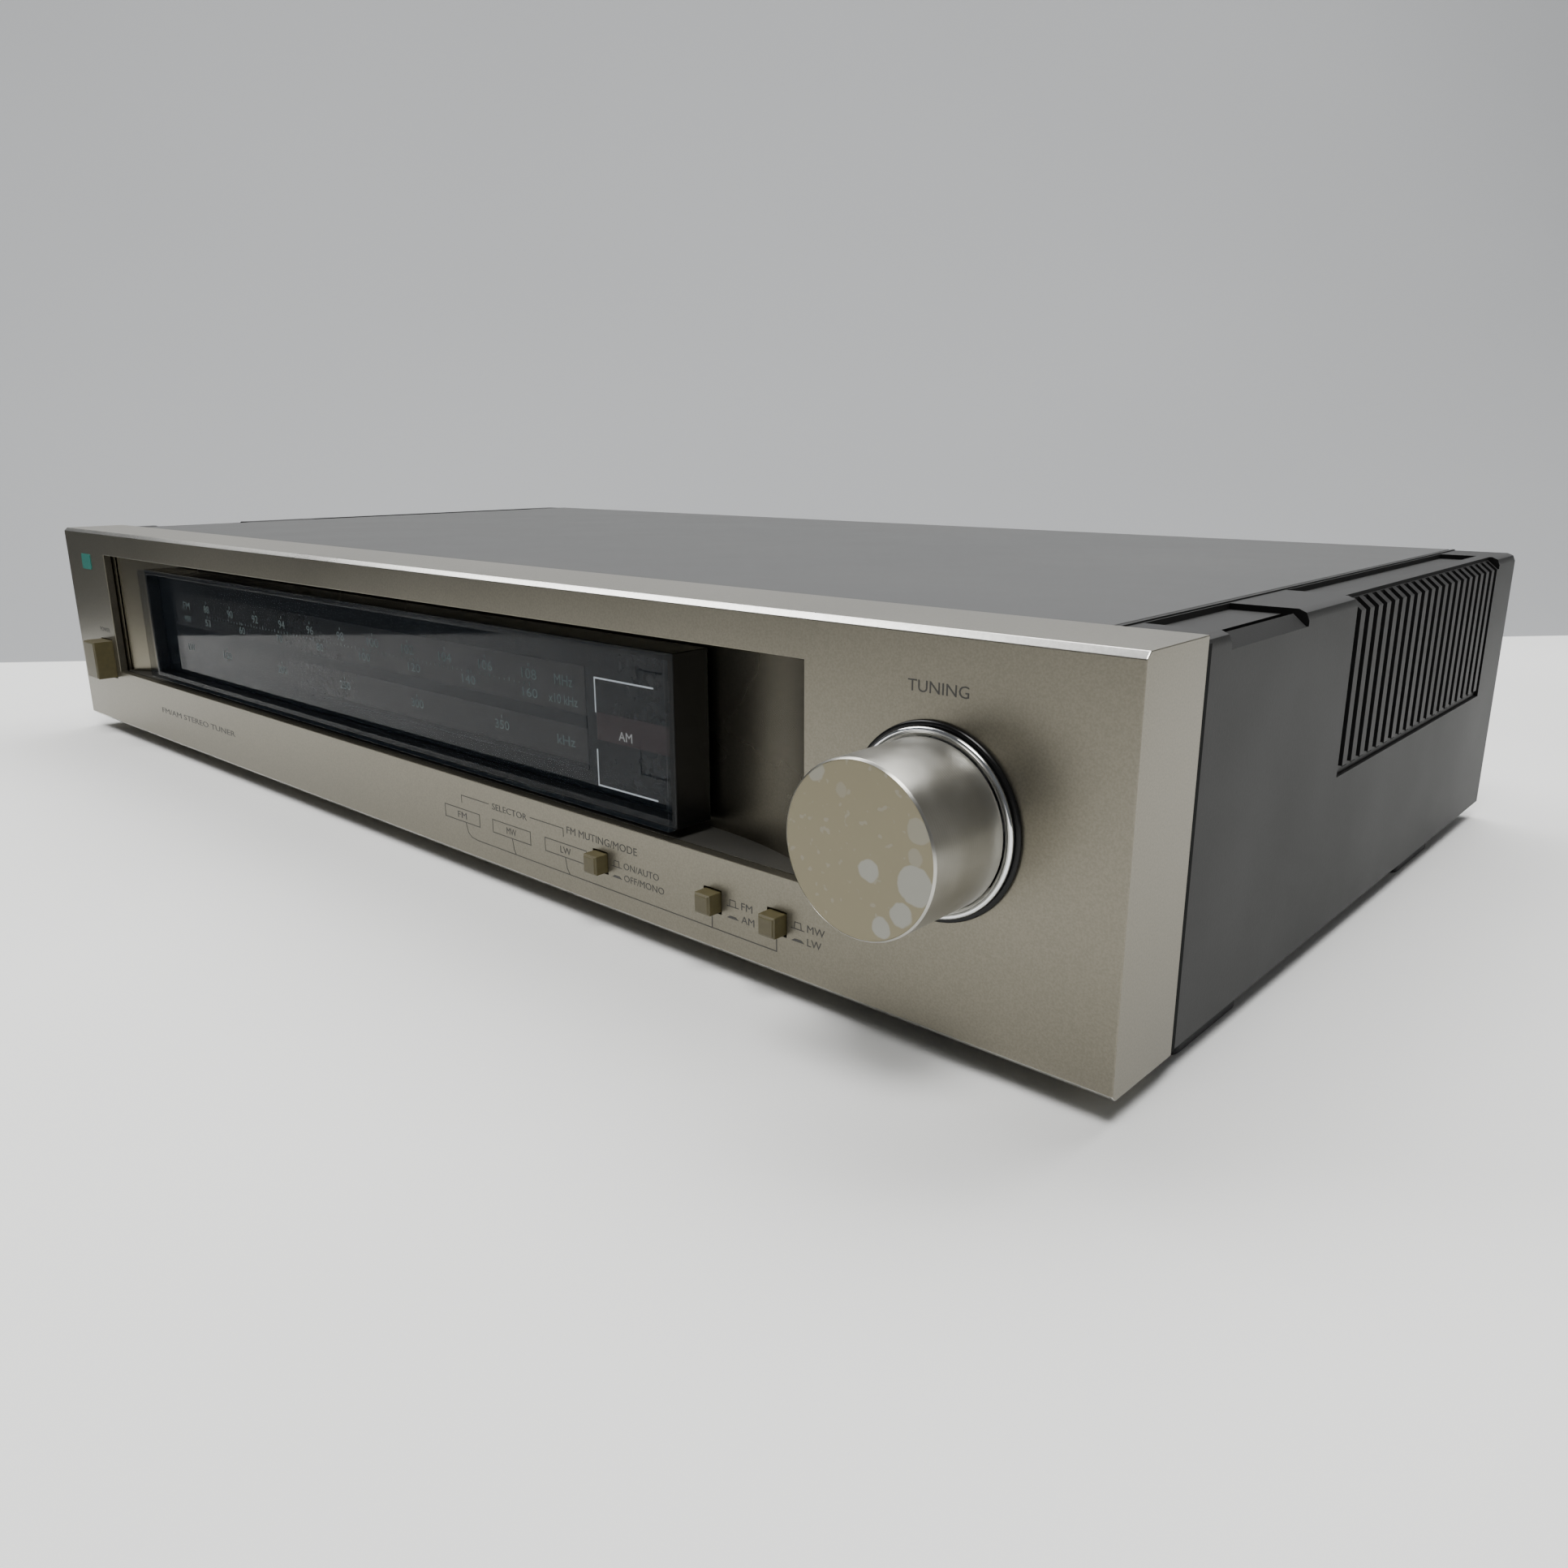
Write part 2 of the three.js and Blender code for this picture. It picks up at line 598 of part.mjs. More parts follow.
function capacitorRotor() {
  const toothTurn = 180 / GEAR_TEETH; // half a tooth in degrees, so the gear is in mesh at rest
  const wheel = gear(GEAR_TEETH, GEAR_FRONT, GEAR_FRONT + GEAR_THICK).rotate([0, toothTurn, 0]);
  const shaft = rod(0, 0, ROTOR.shaft, GEAR_FRONT - 1, CAPACITOR.back + 1.5);
  let body = joined(wheel, shaft);
  const half = new THREE.Shape();
  half.absarc(0, 0, ROTOR.radius, -Math.PI / 2, Math.PI / 2);
  const margin = 4.5; // from the frame's ends to the outer plates
  const room = CAPACITOR.back - CAPACITOR.front - 2 * margin;
  for (let i = 0; i < ROTOR.plates; i += 1) {
    const y = CAPACITOR.front + margin + room * i / (ROTOR.plates - 1);
    body = body.add(facing(half, y, y + 1));
  }
  return body;
}

function capacitorFrame() {
  const w = ROTOR.radius + 3.5;
  const low = -ROTOR.radius - 5;
  const high = ROTOR.radius - 2;
  const wall = 2;
  const { front, back } = CAPACITOR;
  return cut(
    block(-w, w, front, back, low, high),
    block(-w + wall, w - wall, front + wall, back - wall, low + wall, high + 1),
    rod(0, 0, ROTOR.shaft + 0.1, front - 1, back + 1),
  );
}

function dialPointer() {
  const stringZ = IDLER.z + IDLER.radius; // the string's upper run
  const half = 5;
  const reach = half + 4; // past both ends of the carriage
  const railHole = rodAlongX(DRIVE_Y, RAIL.z, RAIL.radius + 0.1, -reach, reach, MIDDLE_ROUND);
  const stringWay = block(
    -reach, reach, DRIVE_Y - STRING_RADIUS - GAP, DRIVE_Y + 4, stringZ - 0.9, stringZ + 0.9,
  );
  const front = DRIVE_Y - 2.6;
  const carriage = block(-half, half, front, DRIVE_Y + 2.2, RAIL.z - 3.6, stringZ + 2.4);
  const bladeFront = SCALE_FRONT + SCALE_THICK + 0.8;
  const arm = block(-1.6, 1.6, bladeFront, front + 0.6, RAIL.z - 2, RAIL.z + 2);
  const blade = block(-0.7, 0.7, bladeFront, bladeFront + 1, WINDOW.low + 1.5, WINDOW.high - 1.5);
  return joined(cut(carriage, railHole, stringWay), arm, blade);
}

const drumAxis = new THREE.Group();
drumAxis.position.set(DRUM.x, 0, DRUM.z);
const idlerAxis = new THREE.Group();
idlerAxis.position.set(IDLER.x, 0, IDLER.z);
const capacitorAxis = new THREE.Group();
capacitorAxis.position.set(CAPACITOR.x, 0, DRUM.z);
const pointerStation = new THREE.Group();
pointerStation.position.set(POINTER_REST, 0, 0);
cabinet.add(drumAxis, idlerAxis, capacitorAxis, pointerStation);

place('dial_drum', dialDrum(), whitePlastic, drumAxis);
place('idler_pulley', idlerPulley(), whitePlastic, idlerAxis);
place('idler_pin', idlerPin(), zincSteel, idlerAxis);
place('capacitor_rotor', capacitorRotor(), brass, capacitorAxis);
place('capacitor_frame', capacitorFrame(), zincSteel, capacitorAxis);
place('dial_pointer', dialPointer(), redPlastic, pointerStation);
place('pointer_rail', rodAlongX(DRIVE_Y, RAIL.z, RAIL.radius, RAIL.left, RAIL.right), zincSteel);
place('dial_string', dialString(), whitePlastic);

// ---------------------------------------------------------------- dial lamps

function dialLamp(x) {
  const y = DRIVE_Y;
  const z = LAMP.z;
  const bulb = rodAlongX(y, z, LAMP.radius, x - 7, x + 7);
  const cap = rodAlongX(y, z, LAMP.radius + 0.3, x + 4, x + 9);
  const holder = block(x + 5, x + 10, y - 1.2, BRACKET_FRONT - GAP, z - LAMP.radius, z + LAMP.radius);
  return joined(bulb, cap, holder);
}

place('dial_lamp_left', dialLamp(LAMP.left), whitePlastic);
place('dial_lamp_right', dialLamp(LAMP.right), whitePlastic);
place(
  'light_reflector',
  block(WINDOW.left, WINDOW.right, BRACKET_FRONT - 1, BRACKET_FRONT - GAP, WINDOW.low, WINDOW.high),
  whitePlastic,
);

// ---------------------------------------------------------------- chassis

function frontBracket() {
  const y0 = BRACKET_FRONT;
  const y1 = BRACKET_FRONT + SHEET;
  const hole = (x, z, radius) => rod(x, z, radius + GAP, y0 - 1, y1 + 1, MIDDLE_ROUND);
  const stemHoles = BUTTONS.map(({ x, z, stem }) => {
    const s = stem / 2 + 2 * GAP;
    return block(x - s, x + s, y0 - 1, y1 + 1, z - s, z + s);
  });
  const cableHoles = [-60, 0].map((x) => block(x, x + 30, y0 - 1, y1 + 1, 6, 16));
  return cut(
    block(-CHASSIS_HALF, CHASSIS_HALF, y0, y1, PAN_LOW + SHEET + 2 * GAP, INNER_TOP),
    hole(KNOB.x, KNOB.z, 5),
    hole(DRUM.x, DRUM.z, DRUM.axle),
    hole(IDLER.x, IDLER.z, IDLER.pin),
    ...stemHoles,
    ...cableHoles,
  );
}

function chassisPan() {
  const front = BRACKET_FRONT + SHEET + GAP;
  const back = REAR_PANEL_FRONT - GAP;
  const h = CHASSIS_HALF;
  const floor = block(-h, h, front, back, PAN_LOW, PAN_LOW + SHEET);
  const leftWall = block(-h, -h + SHEET, front, back, PAN_LOW, PAN_WALL_TOP);
  const rightWall = block(h - SHEET, h, front, back, PAN_LOW, PAN_WALL_TOP);
  const slots = [];
  for (let i = 0; i < PAN_SLOTS.count; i += 1) {
    const x = PAN_SLOTS.left + i * PAN_SLOTS.pitch;
    slots.push(block(x, x + PAN_SLOTS.wide, PAN_SLOTS.front, PAN_SLOTS.back, -1, PAN_LOW + SHEET + 1));
  }
  return cut(joined(floor, leftWall, rightWall), ...slots);
}

function topCover() {
  const front = FASCIA_DEPTH + GAP;
  const h = COVER_HALF;
  const inner = h - COVER_SHEET;
  const low = COVER_TOP - SHEET;
  const edge = COVER_TOP - COVER_FLANGE;
  const bent = outline([
    [-h, edge], [-inner, edge], [-inner, low], [inner, low], [inner, edge], [h, edge], [h, COVER_TOP],
    [-h, COVER_TOP],
  ]);
  const reach = inner + 0.2;
  const rearFlange = block(-reach, reach, COVER_BACK - SHEET, COVER_BACK, COVER_TOP - REAR_FLANGE, low + 0.5);
  const y1 = COVER_BACK + 1;
  const holes = COVER_SCREWS.map((x) => rod(x, COVER_SCREW_Z, SCREW.hole, COVER_BACK - 4, y1, 12));
  return cut(joined(facing(bent, front, COVER_BACK), rearFlange), ...holes);
}

function coverScrew() {
  const seat = COVER_BACK + GAP;
  const { thread, long, head, tall } = SCREW;
  return turned([
    [0, seat - long], [thread - 0.3, seat - long], [thread, seat - long + 0.5], [thread, seat], [head, seat],
    [head, seat + tall / 2], [head * 0.75, seat + tall - 0.2], [0, seat + tall],
  ], SMALL_ROUND);
}

function rearPanel() {
  const y0 = REAR_PANEL_FRONT;
  const y1 = REAR_PANEL_FRONT + SHEET;
  const window = ({ x, z }, wide, tall) => (
    block(x - wide / 2, x + wide / 2, y0 - 1, y1 + 1, z - tall / 2, z + tall / 2)
  );
  return cut(
    block(-CHASSIS_HALF, CHASSIS_HALF, y0, y1, PAN_LOW + 0.2, INNER_TOP),
    ...COVER_SCREWS.map((x) => rod(x, COVER_SCREW_Z, SCREW.hole, y0 - 1, y1 + 1)),
    rod(GLAND.x, GLAND.z, GLAND.radius + GAP, y0 - 1, y1 + 1, MIDDLE_ROUND),
    window(JACKS, 16, 28),
    window(TERMINALS, 56, 18),
    window(ANTENNA, 18, 14),
  );
}

place('front_bracket', frontBracket(), zincSteel);
place('chassis_pan', chassisPan(), zincSteel);
place('rear_panel', rearPanel(), caseGrey);
place('top_cover', topCover(), caseGrey);
COVER_SCREWS.forEach((x, i) => {
  const screw = place(`cover_screw_${i + 1}`, coverScrew(), zincSteel);
  screw.position.set(x, 0, COVER_SCREW_Z);
});

// ---------------------------------------------------------------- side panels

// the panel's section, seen along y
function panelSection() {
  const c = SIDE_CHAMFER;
  return outline([
    [SIDE_INNER, 0], [SIDE_OUTER, 0], [SIDE_OUTER, SIDE_TOP - c], [SIDE_OUTER - c * 0.3, SIDE_TOP - c * 0.3],
    [SIDE_OUTER - c, SIDE_TOP], [SIDE_INNER + RIDGE_WIDTH, SIDE_TOP], [SIDE_INNER + RIDGE_WIDTH, RIDGE_TOP],
    [SIDE_INNER, RIDGE_TOP],
  ]);
}

const ABOVE_PANEL = SIDE_TOP + 2; // clear of the panel, for everything that is cut from above

// the slope that replaces the chamfer along a lip, and the square notch at the slope's rear end
function lipCuts({ from, to }) {
  const slope = outline([
    [LIP.topX, LIP.topZ], [SIDE_OUTER + 0.01, LIP.lowZ], [SIDE_OUTER + 2, LIP.lowZ],
    [SIDE_OUTER + 2, ABOVE_PANEL], [LIP.topX, ABOVE_PANEL],
  ]);
  const notch = block(LIP.topX, SIDE_OUTER + 1, to - 0.01, to + LIP.notch, LIP.lowZ, ABOVE_PANEL);
  return [facing(slope, from, to), notch];
}

function pocketCuts() {
  const floor = SIDE_TOP - POCKET_DEPTH;
  const front = FRONT_POCKET;
  const rear = REAR_POCKET;
  return [
    block(POCKET_INNER, front.outer, front.from, front.to, floor, ABOVE_PANEL),
    block(POCKET_INNER, rear.outer, rear.from, rear.to, floor, ABOVE_PANEL),
    block(front.outer - 0.01, LIP.topX, LIPS[0].from, front.to, floor - GROOVE_DEPTH, ABOVE_PANEL),
  ];
}

// upright slots open at the top, with a shallow groove along their lower ends
function ventCuts() {
  const slots = [];
  for (let i = 0; i < VENT.count; i += 1) {
    const y = VENT.from + i * VENT.pitch;
    slots.push(block(VENT.inner, SIDE_OUTER + 1, y, y + VENT.slot, VENT.low, ABOVE_PANEL));
  }
  const end = VENT.from + (VENT.count - 1) * VENT.pitch + VENT.slot;
  const groove = block(
    SIDE_OUTER - VENT.groove, SIDE_OUTER + 1, VENT.from, end, VENT.low - 1, VENT.low + VENT.groove,
  );
  return [...slots, groove];
}

function sidePanel() {
  const hollow = block(
    SIDE_INNER - 1, SIDE_OUTER - SIDE_WALL, SIDE_FRONT + SIDE_WALL, DEPTH - SIDE_WALL,
    SIDE_WALL, SIDE_TOP - SIDE_TOP_WALL,
  );
  return cut(
    facing(panelSection(), SIDE_FRONT, DEPTH),
    hollow,
    ...pocketCuts(),
    ...LIPS.flatMap(lipCuts),
    ...ventCuts(),
  );
}

const rightPanel = sidePanel();
place('side_panel_right', rightPanel, mouldedBlack);
place('side_panel_left', rightPanel.mirror([1, 0, 0]), mouldedBlack);

// ---------------------------------------------------------------- feet

function foot() {
  return upright(roundedRectangle(FOOT.wide, FOOT.long, FOOT.corner), -FOOT_HEIGHT, -GAP);
}

for (const [side, x] of [['left', -FOOT.x], ['right', FOOT.x]]) {
  for (const [end, y] of [['front', FOOT.front], ['rear', FOOT.rear]]) {
    const piece = place(`foot_${end}_${side}`, foot(), softRubber);
    piece.position.set(x, y, 0);
  }
}

// ---------------------------------------------------------------- board, supply and radio parts

function circuitBoard() {
  const { left, right, front, back, low, thick } = BOARD;
  const inset = 8;
  const posts = [];
  for (const x of [left + inset, (left + right) / 2, right - inset]) {
    for (const y of [front + inset, back - inset]) {
      posts.push(rodAlongZ(x, y, 2.5, PAN_LOW + SHEET + GAP, low + 0.5, 10));
    }
  }
  return joined(block(left, right, front, back, low, low + thick), ...posts);
}

function powerTransformer() {
  const { x, y } = TRANSFORMER;
  const low = PAN_LOW + SHEET + GAP;
  const core = block(x - 27, x + 27, y - 12, y + 12, low, low + 46);
  const winding = block(x - 17, x + 17, y - 22, y + 22, low + 9, low + 37);
  const flange = block(x - 36, x + 36, y - 8, y + 8, low, low + 1.5);
  return joined(core, winding, flange);
}

function shieldCan() {
  const { left, right, front, back, tall, wells } = SHIELD;
  const top = BOARD_TOP + tall;
  const pitch = (right - left - 16) / (wells - 1);
  const screws = [];
  for (let i = 0; i < wells; i += 1) {
    screws.push(rodAlongZ(left + 8 + i * pitch, front + 8, 2.5, top - 2, top + 2, 12));
  }
  return cut(block(left, right, front, back, BOARD_TOP, top), ...screws);
}

function filterCapacitor({ x, y, radius, tall }) {
  const crimp = 0.7;
  const can = turned([
    [0, 0], [radius, 0], [radius, tall * 0.86], [radius - crimp, tall * 0.89], [radius, tall * 0.92],
    [radius, tall - 0.6], [radius - 0.8, tall], [radius - 1.6, tall - 0.4], [0, tall - 0.4],
  ], 20);
  return can.rotateX(Math.PI / 2).translate(x, y, BOARD_TOP);
}

function heatSink() {
  const { left, pitch, fins, front, back, web, tall } = HEAT_SINK;
  const top = BOARD_TOP + tall;
  let body = block(left, left + (fins - 1) * pitch + web, back - web, back, BOARD_TOP, top);
  for (let i = 0; i < fins; i += 1) {
    const x = left + i * pitch;
    body = body.add(block(x, x + web, front, back - web / 2, BOARD_TOP, top));
  }
  return body;
}

place('circuit_board', circuitBoard(), boardResin);
place('power_transformer', powerTransformer(), copperTape);
place('tuner_shield_can', shieldCan(), zincSteel);
place('filter_capacitor_large', filterCapacitor(LARGE_CAPACITOR), sleeveBlue);
place('filter_capacitor_small', filterCapacitor(SMALL_CAPACITOR), sleeveBlue);
place('regulator_heat_sink', heatSink(), anodisedBlack);

// ---------------------------------------------------------------- rear connections

const REAR_SEAT = REAR_PANEL_FRONT + SHEET + GAP; // where the rear pieces meet the panel

// a plate on the panel, with a body behind it that fills the panel's window
function socketPlate({ x, z }, wide, tall, thick, bodyWide, bodyTall, bodyDeep) {
  const w = wide / 2;
  const h = tall / 2;
  const plate = block(x - w, x + w, REAR_SEAT, REAR_SEAT + thick, z - h, z + h);
  const bw = bodyWide / 2;
  const bh = bodyTall / 2;
  return joined(plate, block(x - bw, x + bw, REAR_SEAT - bodyDeep, REAR_SEAT + 1, z - bh, z + bh));
}

function outputJacks() {
  const { x, spacing, sleeve, hole } = JACKS;
  const places = [JACKS.z - spacing / 2, JACKS.z + spacing / 2];
  return cut(
    joined(
      socketPlate(JACKS, 22, 36, 2, 14, 26, 14),
      ...places.map((z) => rod(x, z, sleeve, REAR_SEAT + 1, REAR_SEAT + 10, MIDDLE_ROUND)),
    ),
    ...places.map((z) => rod(x, z, hole, REAR_SEAT + 2, REAR_SEAT + 11, 12)),
  );
}

function antennaTerminals() {
  const { z, count, pitch, screw } = TERMINALS;
  let board = socketPlate(TERMINALS, 64, 24, 2.4, 54, 16, 8);
  for (let i = 0; i < count; i += 1) {
    const x = TERMINALS.x + (i - (count - 1) / 2) * pitch;
    board = board.add(rod(x, z, screw, REAR_SEAT + 1, REAR_SEAT + 7, 18));
    board = board.subtract(block(x - 3, x + 3, REAR_SEAT + 6, REAR_SEAT + 8, z - 0.5, z + 0.5));
  }
  return board;
}

function cordGland() {
  const { radius, bore } = GLAND;
  const front = REAR_PANEL_FRONT - 5;
  const back = REAR_SEAT + 3.7;
  return turned([
    [bore, front], [radius - 0.4, front], [radius, front + 1], [radius, REAR_SEAT], [radius + 2.2, REAR_SEAT],
    [radius + 2.2, back - 1.6], [radius + 0.6, back], [bore, back], [bore, front],
  ], MIDDLE_ROUND).translate(GLAND.x, 0, GLAND.z);
}

// the antenna turns about an upright pin at one end, so its bracket is a fork round that end
function antennaBracket() {
  const { x, radius } = PIVOT;
  const { y, z } = ANTENNA;
  const reach = y + 3;
  const inner = 6.6; // of each arm, from the middle
  const outer = 9;
  return cut(
    joined(
      socketPlate(ANTENNA, 24, 20, 2.2, 16, 12, 6),
      block(x - 5, x + 5, REAR_SEAT + 1, reach, z + inner, z + outer),
      block(x - 5, x + 5, REAR_SEAT + 1, reach, z - outer, z - inner),
    ),
    rodAlongZ(x, y, radius + BORE_PLAY, z - outer - 1, z + outer + 1, 20),
  );
}

function antennaBar() {
  const { y, z, radius, long } = ANTENNA;
  const end = PIVOT.x + long;
  const neck = 3.4;
  return joined(
    rodAlongX(y, z, radius - 0.6, PIVOT.x + 4, end, 20),
    rodAlongX(y, z, radius, end - 8, end + 1, 20), // end cap
    rodAlongX(y, z, radius, PIVOT.x + 40, PIVOT.x + 62, 20), // coil
    rodAlongZ(PIVOT.x, y, 4.6, z - 6.3, z + 6.3, 20), // knuckle
    rodAlongZ(PIVOT.x, y, PIVOT.radius, z - 9.4, z + 9.4, 20), // pin
    block(PIVOT.x, PIVOT.x + 8, y - neck, y + neck, z - neck, z + neck),
  );
}

place('output_jacks', outputJacks(), gloss);
place('antenna_terminals', antennaTerminals(), gloss);
place('cord_gland', cordGland(), softRubber);
place('antenna_bracket', antennaBracket(), gloss);
place('antenna_bar', antennaBar(), ferriteGrey);

export default tuner;
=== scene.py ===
import json
import math

import bmesh
import bpy
from mathutils import Matrix, Vector

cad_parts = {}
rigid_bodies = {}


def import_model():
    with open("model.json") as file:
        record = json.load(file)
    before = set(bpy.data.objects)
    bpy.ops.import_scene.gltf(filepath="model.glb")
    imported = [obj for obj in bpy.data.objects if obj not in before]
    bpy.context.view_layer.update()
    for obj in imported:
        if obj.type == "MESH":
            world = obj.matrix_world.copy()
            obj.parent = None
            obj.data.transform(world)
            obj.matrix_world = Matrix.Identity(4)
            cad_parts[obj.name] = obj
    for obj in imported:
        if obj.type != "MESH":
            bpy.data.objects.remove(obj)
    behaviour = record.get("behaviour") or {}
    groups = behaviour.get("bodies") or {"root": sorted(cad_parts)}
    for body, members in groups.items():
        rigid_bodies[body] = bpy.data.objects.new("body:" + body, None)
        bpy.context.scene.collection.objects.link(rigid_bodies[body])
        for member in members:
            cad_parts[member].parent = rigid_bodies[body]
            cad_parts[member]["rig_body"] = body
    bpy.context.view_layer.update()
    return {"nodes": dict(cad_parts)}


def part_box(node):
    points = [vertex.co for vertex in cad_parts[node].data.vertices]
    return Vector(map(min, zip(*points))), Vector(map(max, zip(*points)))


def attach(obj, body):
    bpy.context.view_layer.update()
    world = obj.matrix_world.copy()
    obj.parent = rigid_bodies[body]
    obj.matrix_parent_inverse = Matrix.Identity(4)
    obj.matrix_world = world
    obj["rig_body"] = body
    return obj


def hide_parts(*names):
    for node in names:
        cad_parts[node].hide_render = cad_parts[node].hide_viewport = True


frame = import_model()

# The looks of a slim AM/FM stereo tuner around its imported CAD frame. The frame is in metres, with +X right,
# +Y to the rear and +Z up. Sizes here are in millimetres. at() counts them from the middle of the fascia's
# lower front edge, so y = 0 is the fascia's face and z = 0 its underside.

NODES = frame["nodes"]
MM = 0.001
FACE_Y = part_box("front_fascia")[0].y
BASE_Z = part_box("front_fascia")[0].z


def at(x, y, z):
    return Vector((x * MM, FACE_Y + y * MM, BASE_Z + z * MM))


def span(node):
    """Lowest and highest corner of a CAD node, in the millimetres that at() takes."""
    low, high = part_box(node)
    origin = at(0, 0, 0)
    return (low - origin) / MM, (high - origin) / MM


def axis_point(node):
    """The point on a turned node's axis in the plane of the fascia's face."""
    low, high = span(node)
    return at((low.x + high.x) / 2, 0, (low.z + high.z) / 2)


# ---------------------------------------------------------------- camera, lights and stage

def make_camera():
    yaw, pitch, roll = math.radians(42.28), math.radians(-15.676), math.radians(-0.194)
    forward = Vector((-math.sin(yaw) * math.cos(pitch), math.cos(yaw) * math.cos(pitch), math.sin(pitch)))
    level = Vector((math.cos(yaw), math.sin(yaw), 0))
    upright = level.cross(forward)
    right = math.cos(roll) * level + math.sin(roll) * upright
    up = math.cos(roll) * upright - math.sin(roll) * level
    data = bpy.data.cameras.new("camera")
    data.sensor_width = 36
    data.lens = 27.403
    data.clip_start = 0.01
    camera = bpy.data.objects.new("camera", data)
    turn = Matrix((right, up, -forward)).transposed().to_4x4()
    camera.matrix_world = Matrix.Translation(at(288.093, -155.488, 97.713)) @ turn
    bpy.context.scene.collection.objects.link(camera)
    bpy.context.scene.camera = camera


def area_light(name, place, aim, size, power, colour=(1, 1, 1)):
    data = bpy.data.lights.new(name, "AREA")
    data.shape = "RECTANGLE"
    data.size, data.size_y = size
    data.energy = power
    data.color = colour
    lamp = bpy.data.objects.new(name, data)
    lamp.location = place
    lamp.rotation_euler = (Vector(aim) - Vector(place)).to_track_quat("-Z", "Y").to_euler()
    bpy.context.scene.collection.objects.link(lamp)


ROOM_TURN = math.radians(47.2)  # the cloth's rear edge and the wall run at this angle to the fascia


def room(along, deep, z):
    """A place in metres, along the wall and towards it from the middle of the object."""
    u = Vector((math.cos(ROOM_TURN), math.sin(ROOM_TURN), 0))
    n = Vector((-math.sin(ROOM_TURN), math.cos(ROOM_TURN), 0))
    return u * along + n * deep + Vector((0, 0, z))


def make_lights():
    world = bpy.data.worlds.new("studio")
    world.use_nodes = True
    background = world.node_tree.nodes["Background"]
    background.inputs["Color"].default_value = (0.93, 0.96, 1.0, 1)
    background.inputs["Strength"].default_value = 0.12
    bpy.context.scene.world = world
    area_light("key", (-1.0, -0.42, 1.15), (0, 0, 0), (0.7, 0.7), 12)
    area_light("overhead", (-0.35, 0.75, 1.6), (0, 0, 0), (2.2, 1.0), 46)
    area_light("front_floor", (0.45, -0.55, 1.5), (0.3, -0.4, 0), (0.8, 0.5), 22)
    area_light("right_rear", (1.7, 0.7, 0.7), (0.1, 0, 0.03), (1.2, 0.9), 2, (1.0, 0.98, 0.95))
    area_light("wall_wash", room(0.4, 0.35, 1.5), room(0.4, 1.1, 0.45), (2.4, 0.3), 5, (0.95, 0.97, 1.0))


def make_stage():
    """A pale cloth, and behind it a plain backdrop that curves up from the floor."""
    cloth_edge, cloth_left, height, under, steps = 0.248, -0.45, 2.4, -0.002, 14
    start, wall = 0.2, 1.1  # where the backdrop starts, and where it stands upright
    near, far, right = -0.335, -0.82, 3.5  # left ends of the backdrop there, and its right end
    bm = bmesh.new()
    cloth = [(cloth_left, -1.7), (2.2, -1.7), (2.2, cloth_edge), (cloth_left, cloth_edge)]
    bm.faces.new([bm.verts.new(room(along, deep, 0)) for along, deep in cloth])
    rows = []
    for i in range(steps + 2):
        share = min(i / steps, 1)
        deep = start + (wall - start) * math.sin(math.pi / 2 * share)
        z = under + 0.9 * (1 - math.cos(math.pi / 2 * share)) if i <= steps else height
        left = near + (far - near) * (deep - start) / (wall - start)
        rows.append([bm.verts.new(room(along, deep, z)) for along in (left, right)])
    for (a, b), (c, d) in zip(rows, rows[1:]):
        face = bm.faces.new((a, b, d, c))
        face.material_index = 1
        face.smooth = True
    mesh = bpy.data.meshes.new("stage")
    bm.to_mesh(mesh)
    bm.free()
    mesh.materials.append(stage_cloth())
    mesh.materials.append(wall_paint())
    stage = bpy.data.objects.new("stage", mesh)
    bpy.context.scene.collection.objects.link(stage)


# ---------------------------------------------------------------- materials

def principled(name, roughness=0.5, metallic=0.0, **values):
    material = bpy.data.materials.new(name)
    material.use_nodes = True
    shader = material.node_tree.nodes["Principled BSDF"]
    shader.inputs["Roughness"].default_value = roughness
    shader.inputs["Metallic"].default_value = metallic
    for socket, value in values.items():
        shader.inputs[socket.replace("_", " ")].default_value = value
    return material, shader


def noise(material, scale, detail=3.0, stretch=(1, 1, 1)):
    """Noise in object coordinates; scale counts its features in a metre, stretch draws them out."""
    tree = material.node_tree
    coordinates = tree.nodes.new("ShaderNodeTexCoord")
    mapping = tree.nodes.new("ShaderNodeMapping")
    mapping.inputs["Scale"].default_value = stretch
    texture = tree.nodes.new("ShaderNodeTexNoise")
    texture.inputs["Scale"].default_value = scale
    texture.inputs["Detail"].default_value = detail
    tree.links.new(coordinates.outputs["Object"], mapping.inputs["Vector"])
    tree.links.new(mapping.outputs["Vector"], texture.inputs["Vector"])
    return texture.outputs["Fac"]


def ramp(material, factor, *stops):
    """A colour ramp over factor; each stop is a place from 0 to 1 and a colour."""
    node = material.node_tree.nodes.new("ShaderNodeValToRGB")
    elements = node.color_ramp.elements
    while len(elements) < len(stops):
        elements.new(0.5)
    for element, (place, colour) in zip(elements, stops):
        element.position = place
        element.color = (*colour, 1)
    material.node_tree.links.new(factor, node.inputs["Fac"])
    return node.outputs["Color"]


def spread(material, factor, low, high):
    """Maps a noise factor, which lies mostly between 0.3 and 0.7, to low..high."""
    node = material.node_tree.nodes.new("ShaderNodeMapRange")
    node.inputs["From Min"].default_value = 0.3
    node.inputs["From Max"].default_value = 0.7
    node.inputs["To Min"].default_value = low
    node.inputs["To Max"].default_value = high
    material.node_tree.links.new(factor, node.inputs["Value"])
    return node.outputs["Result"]


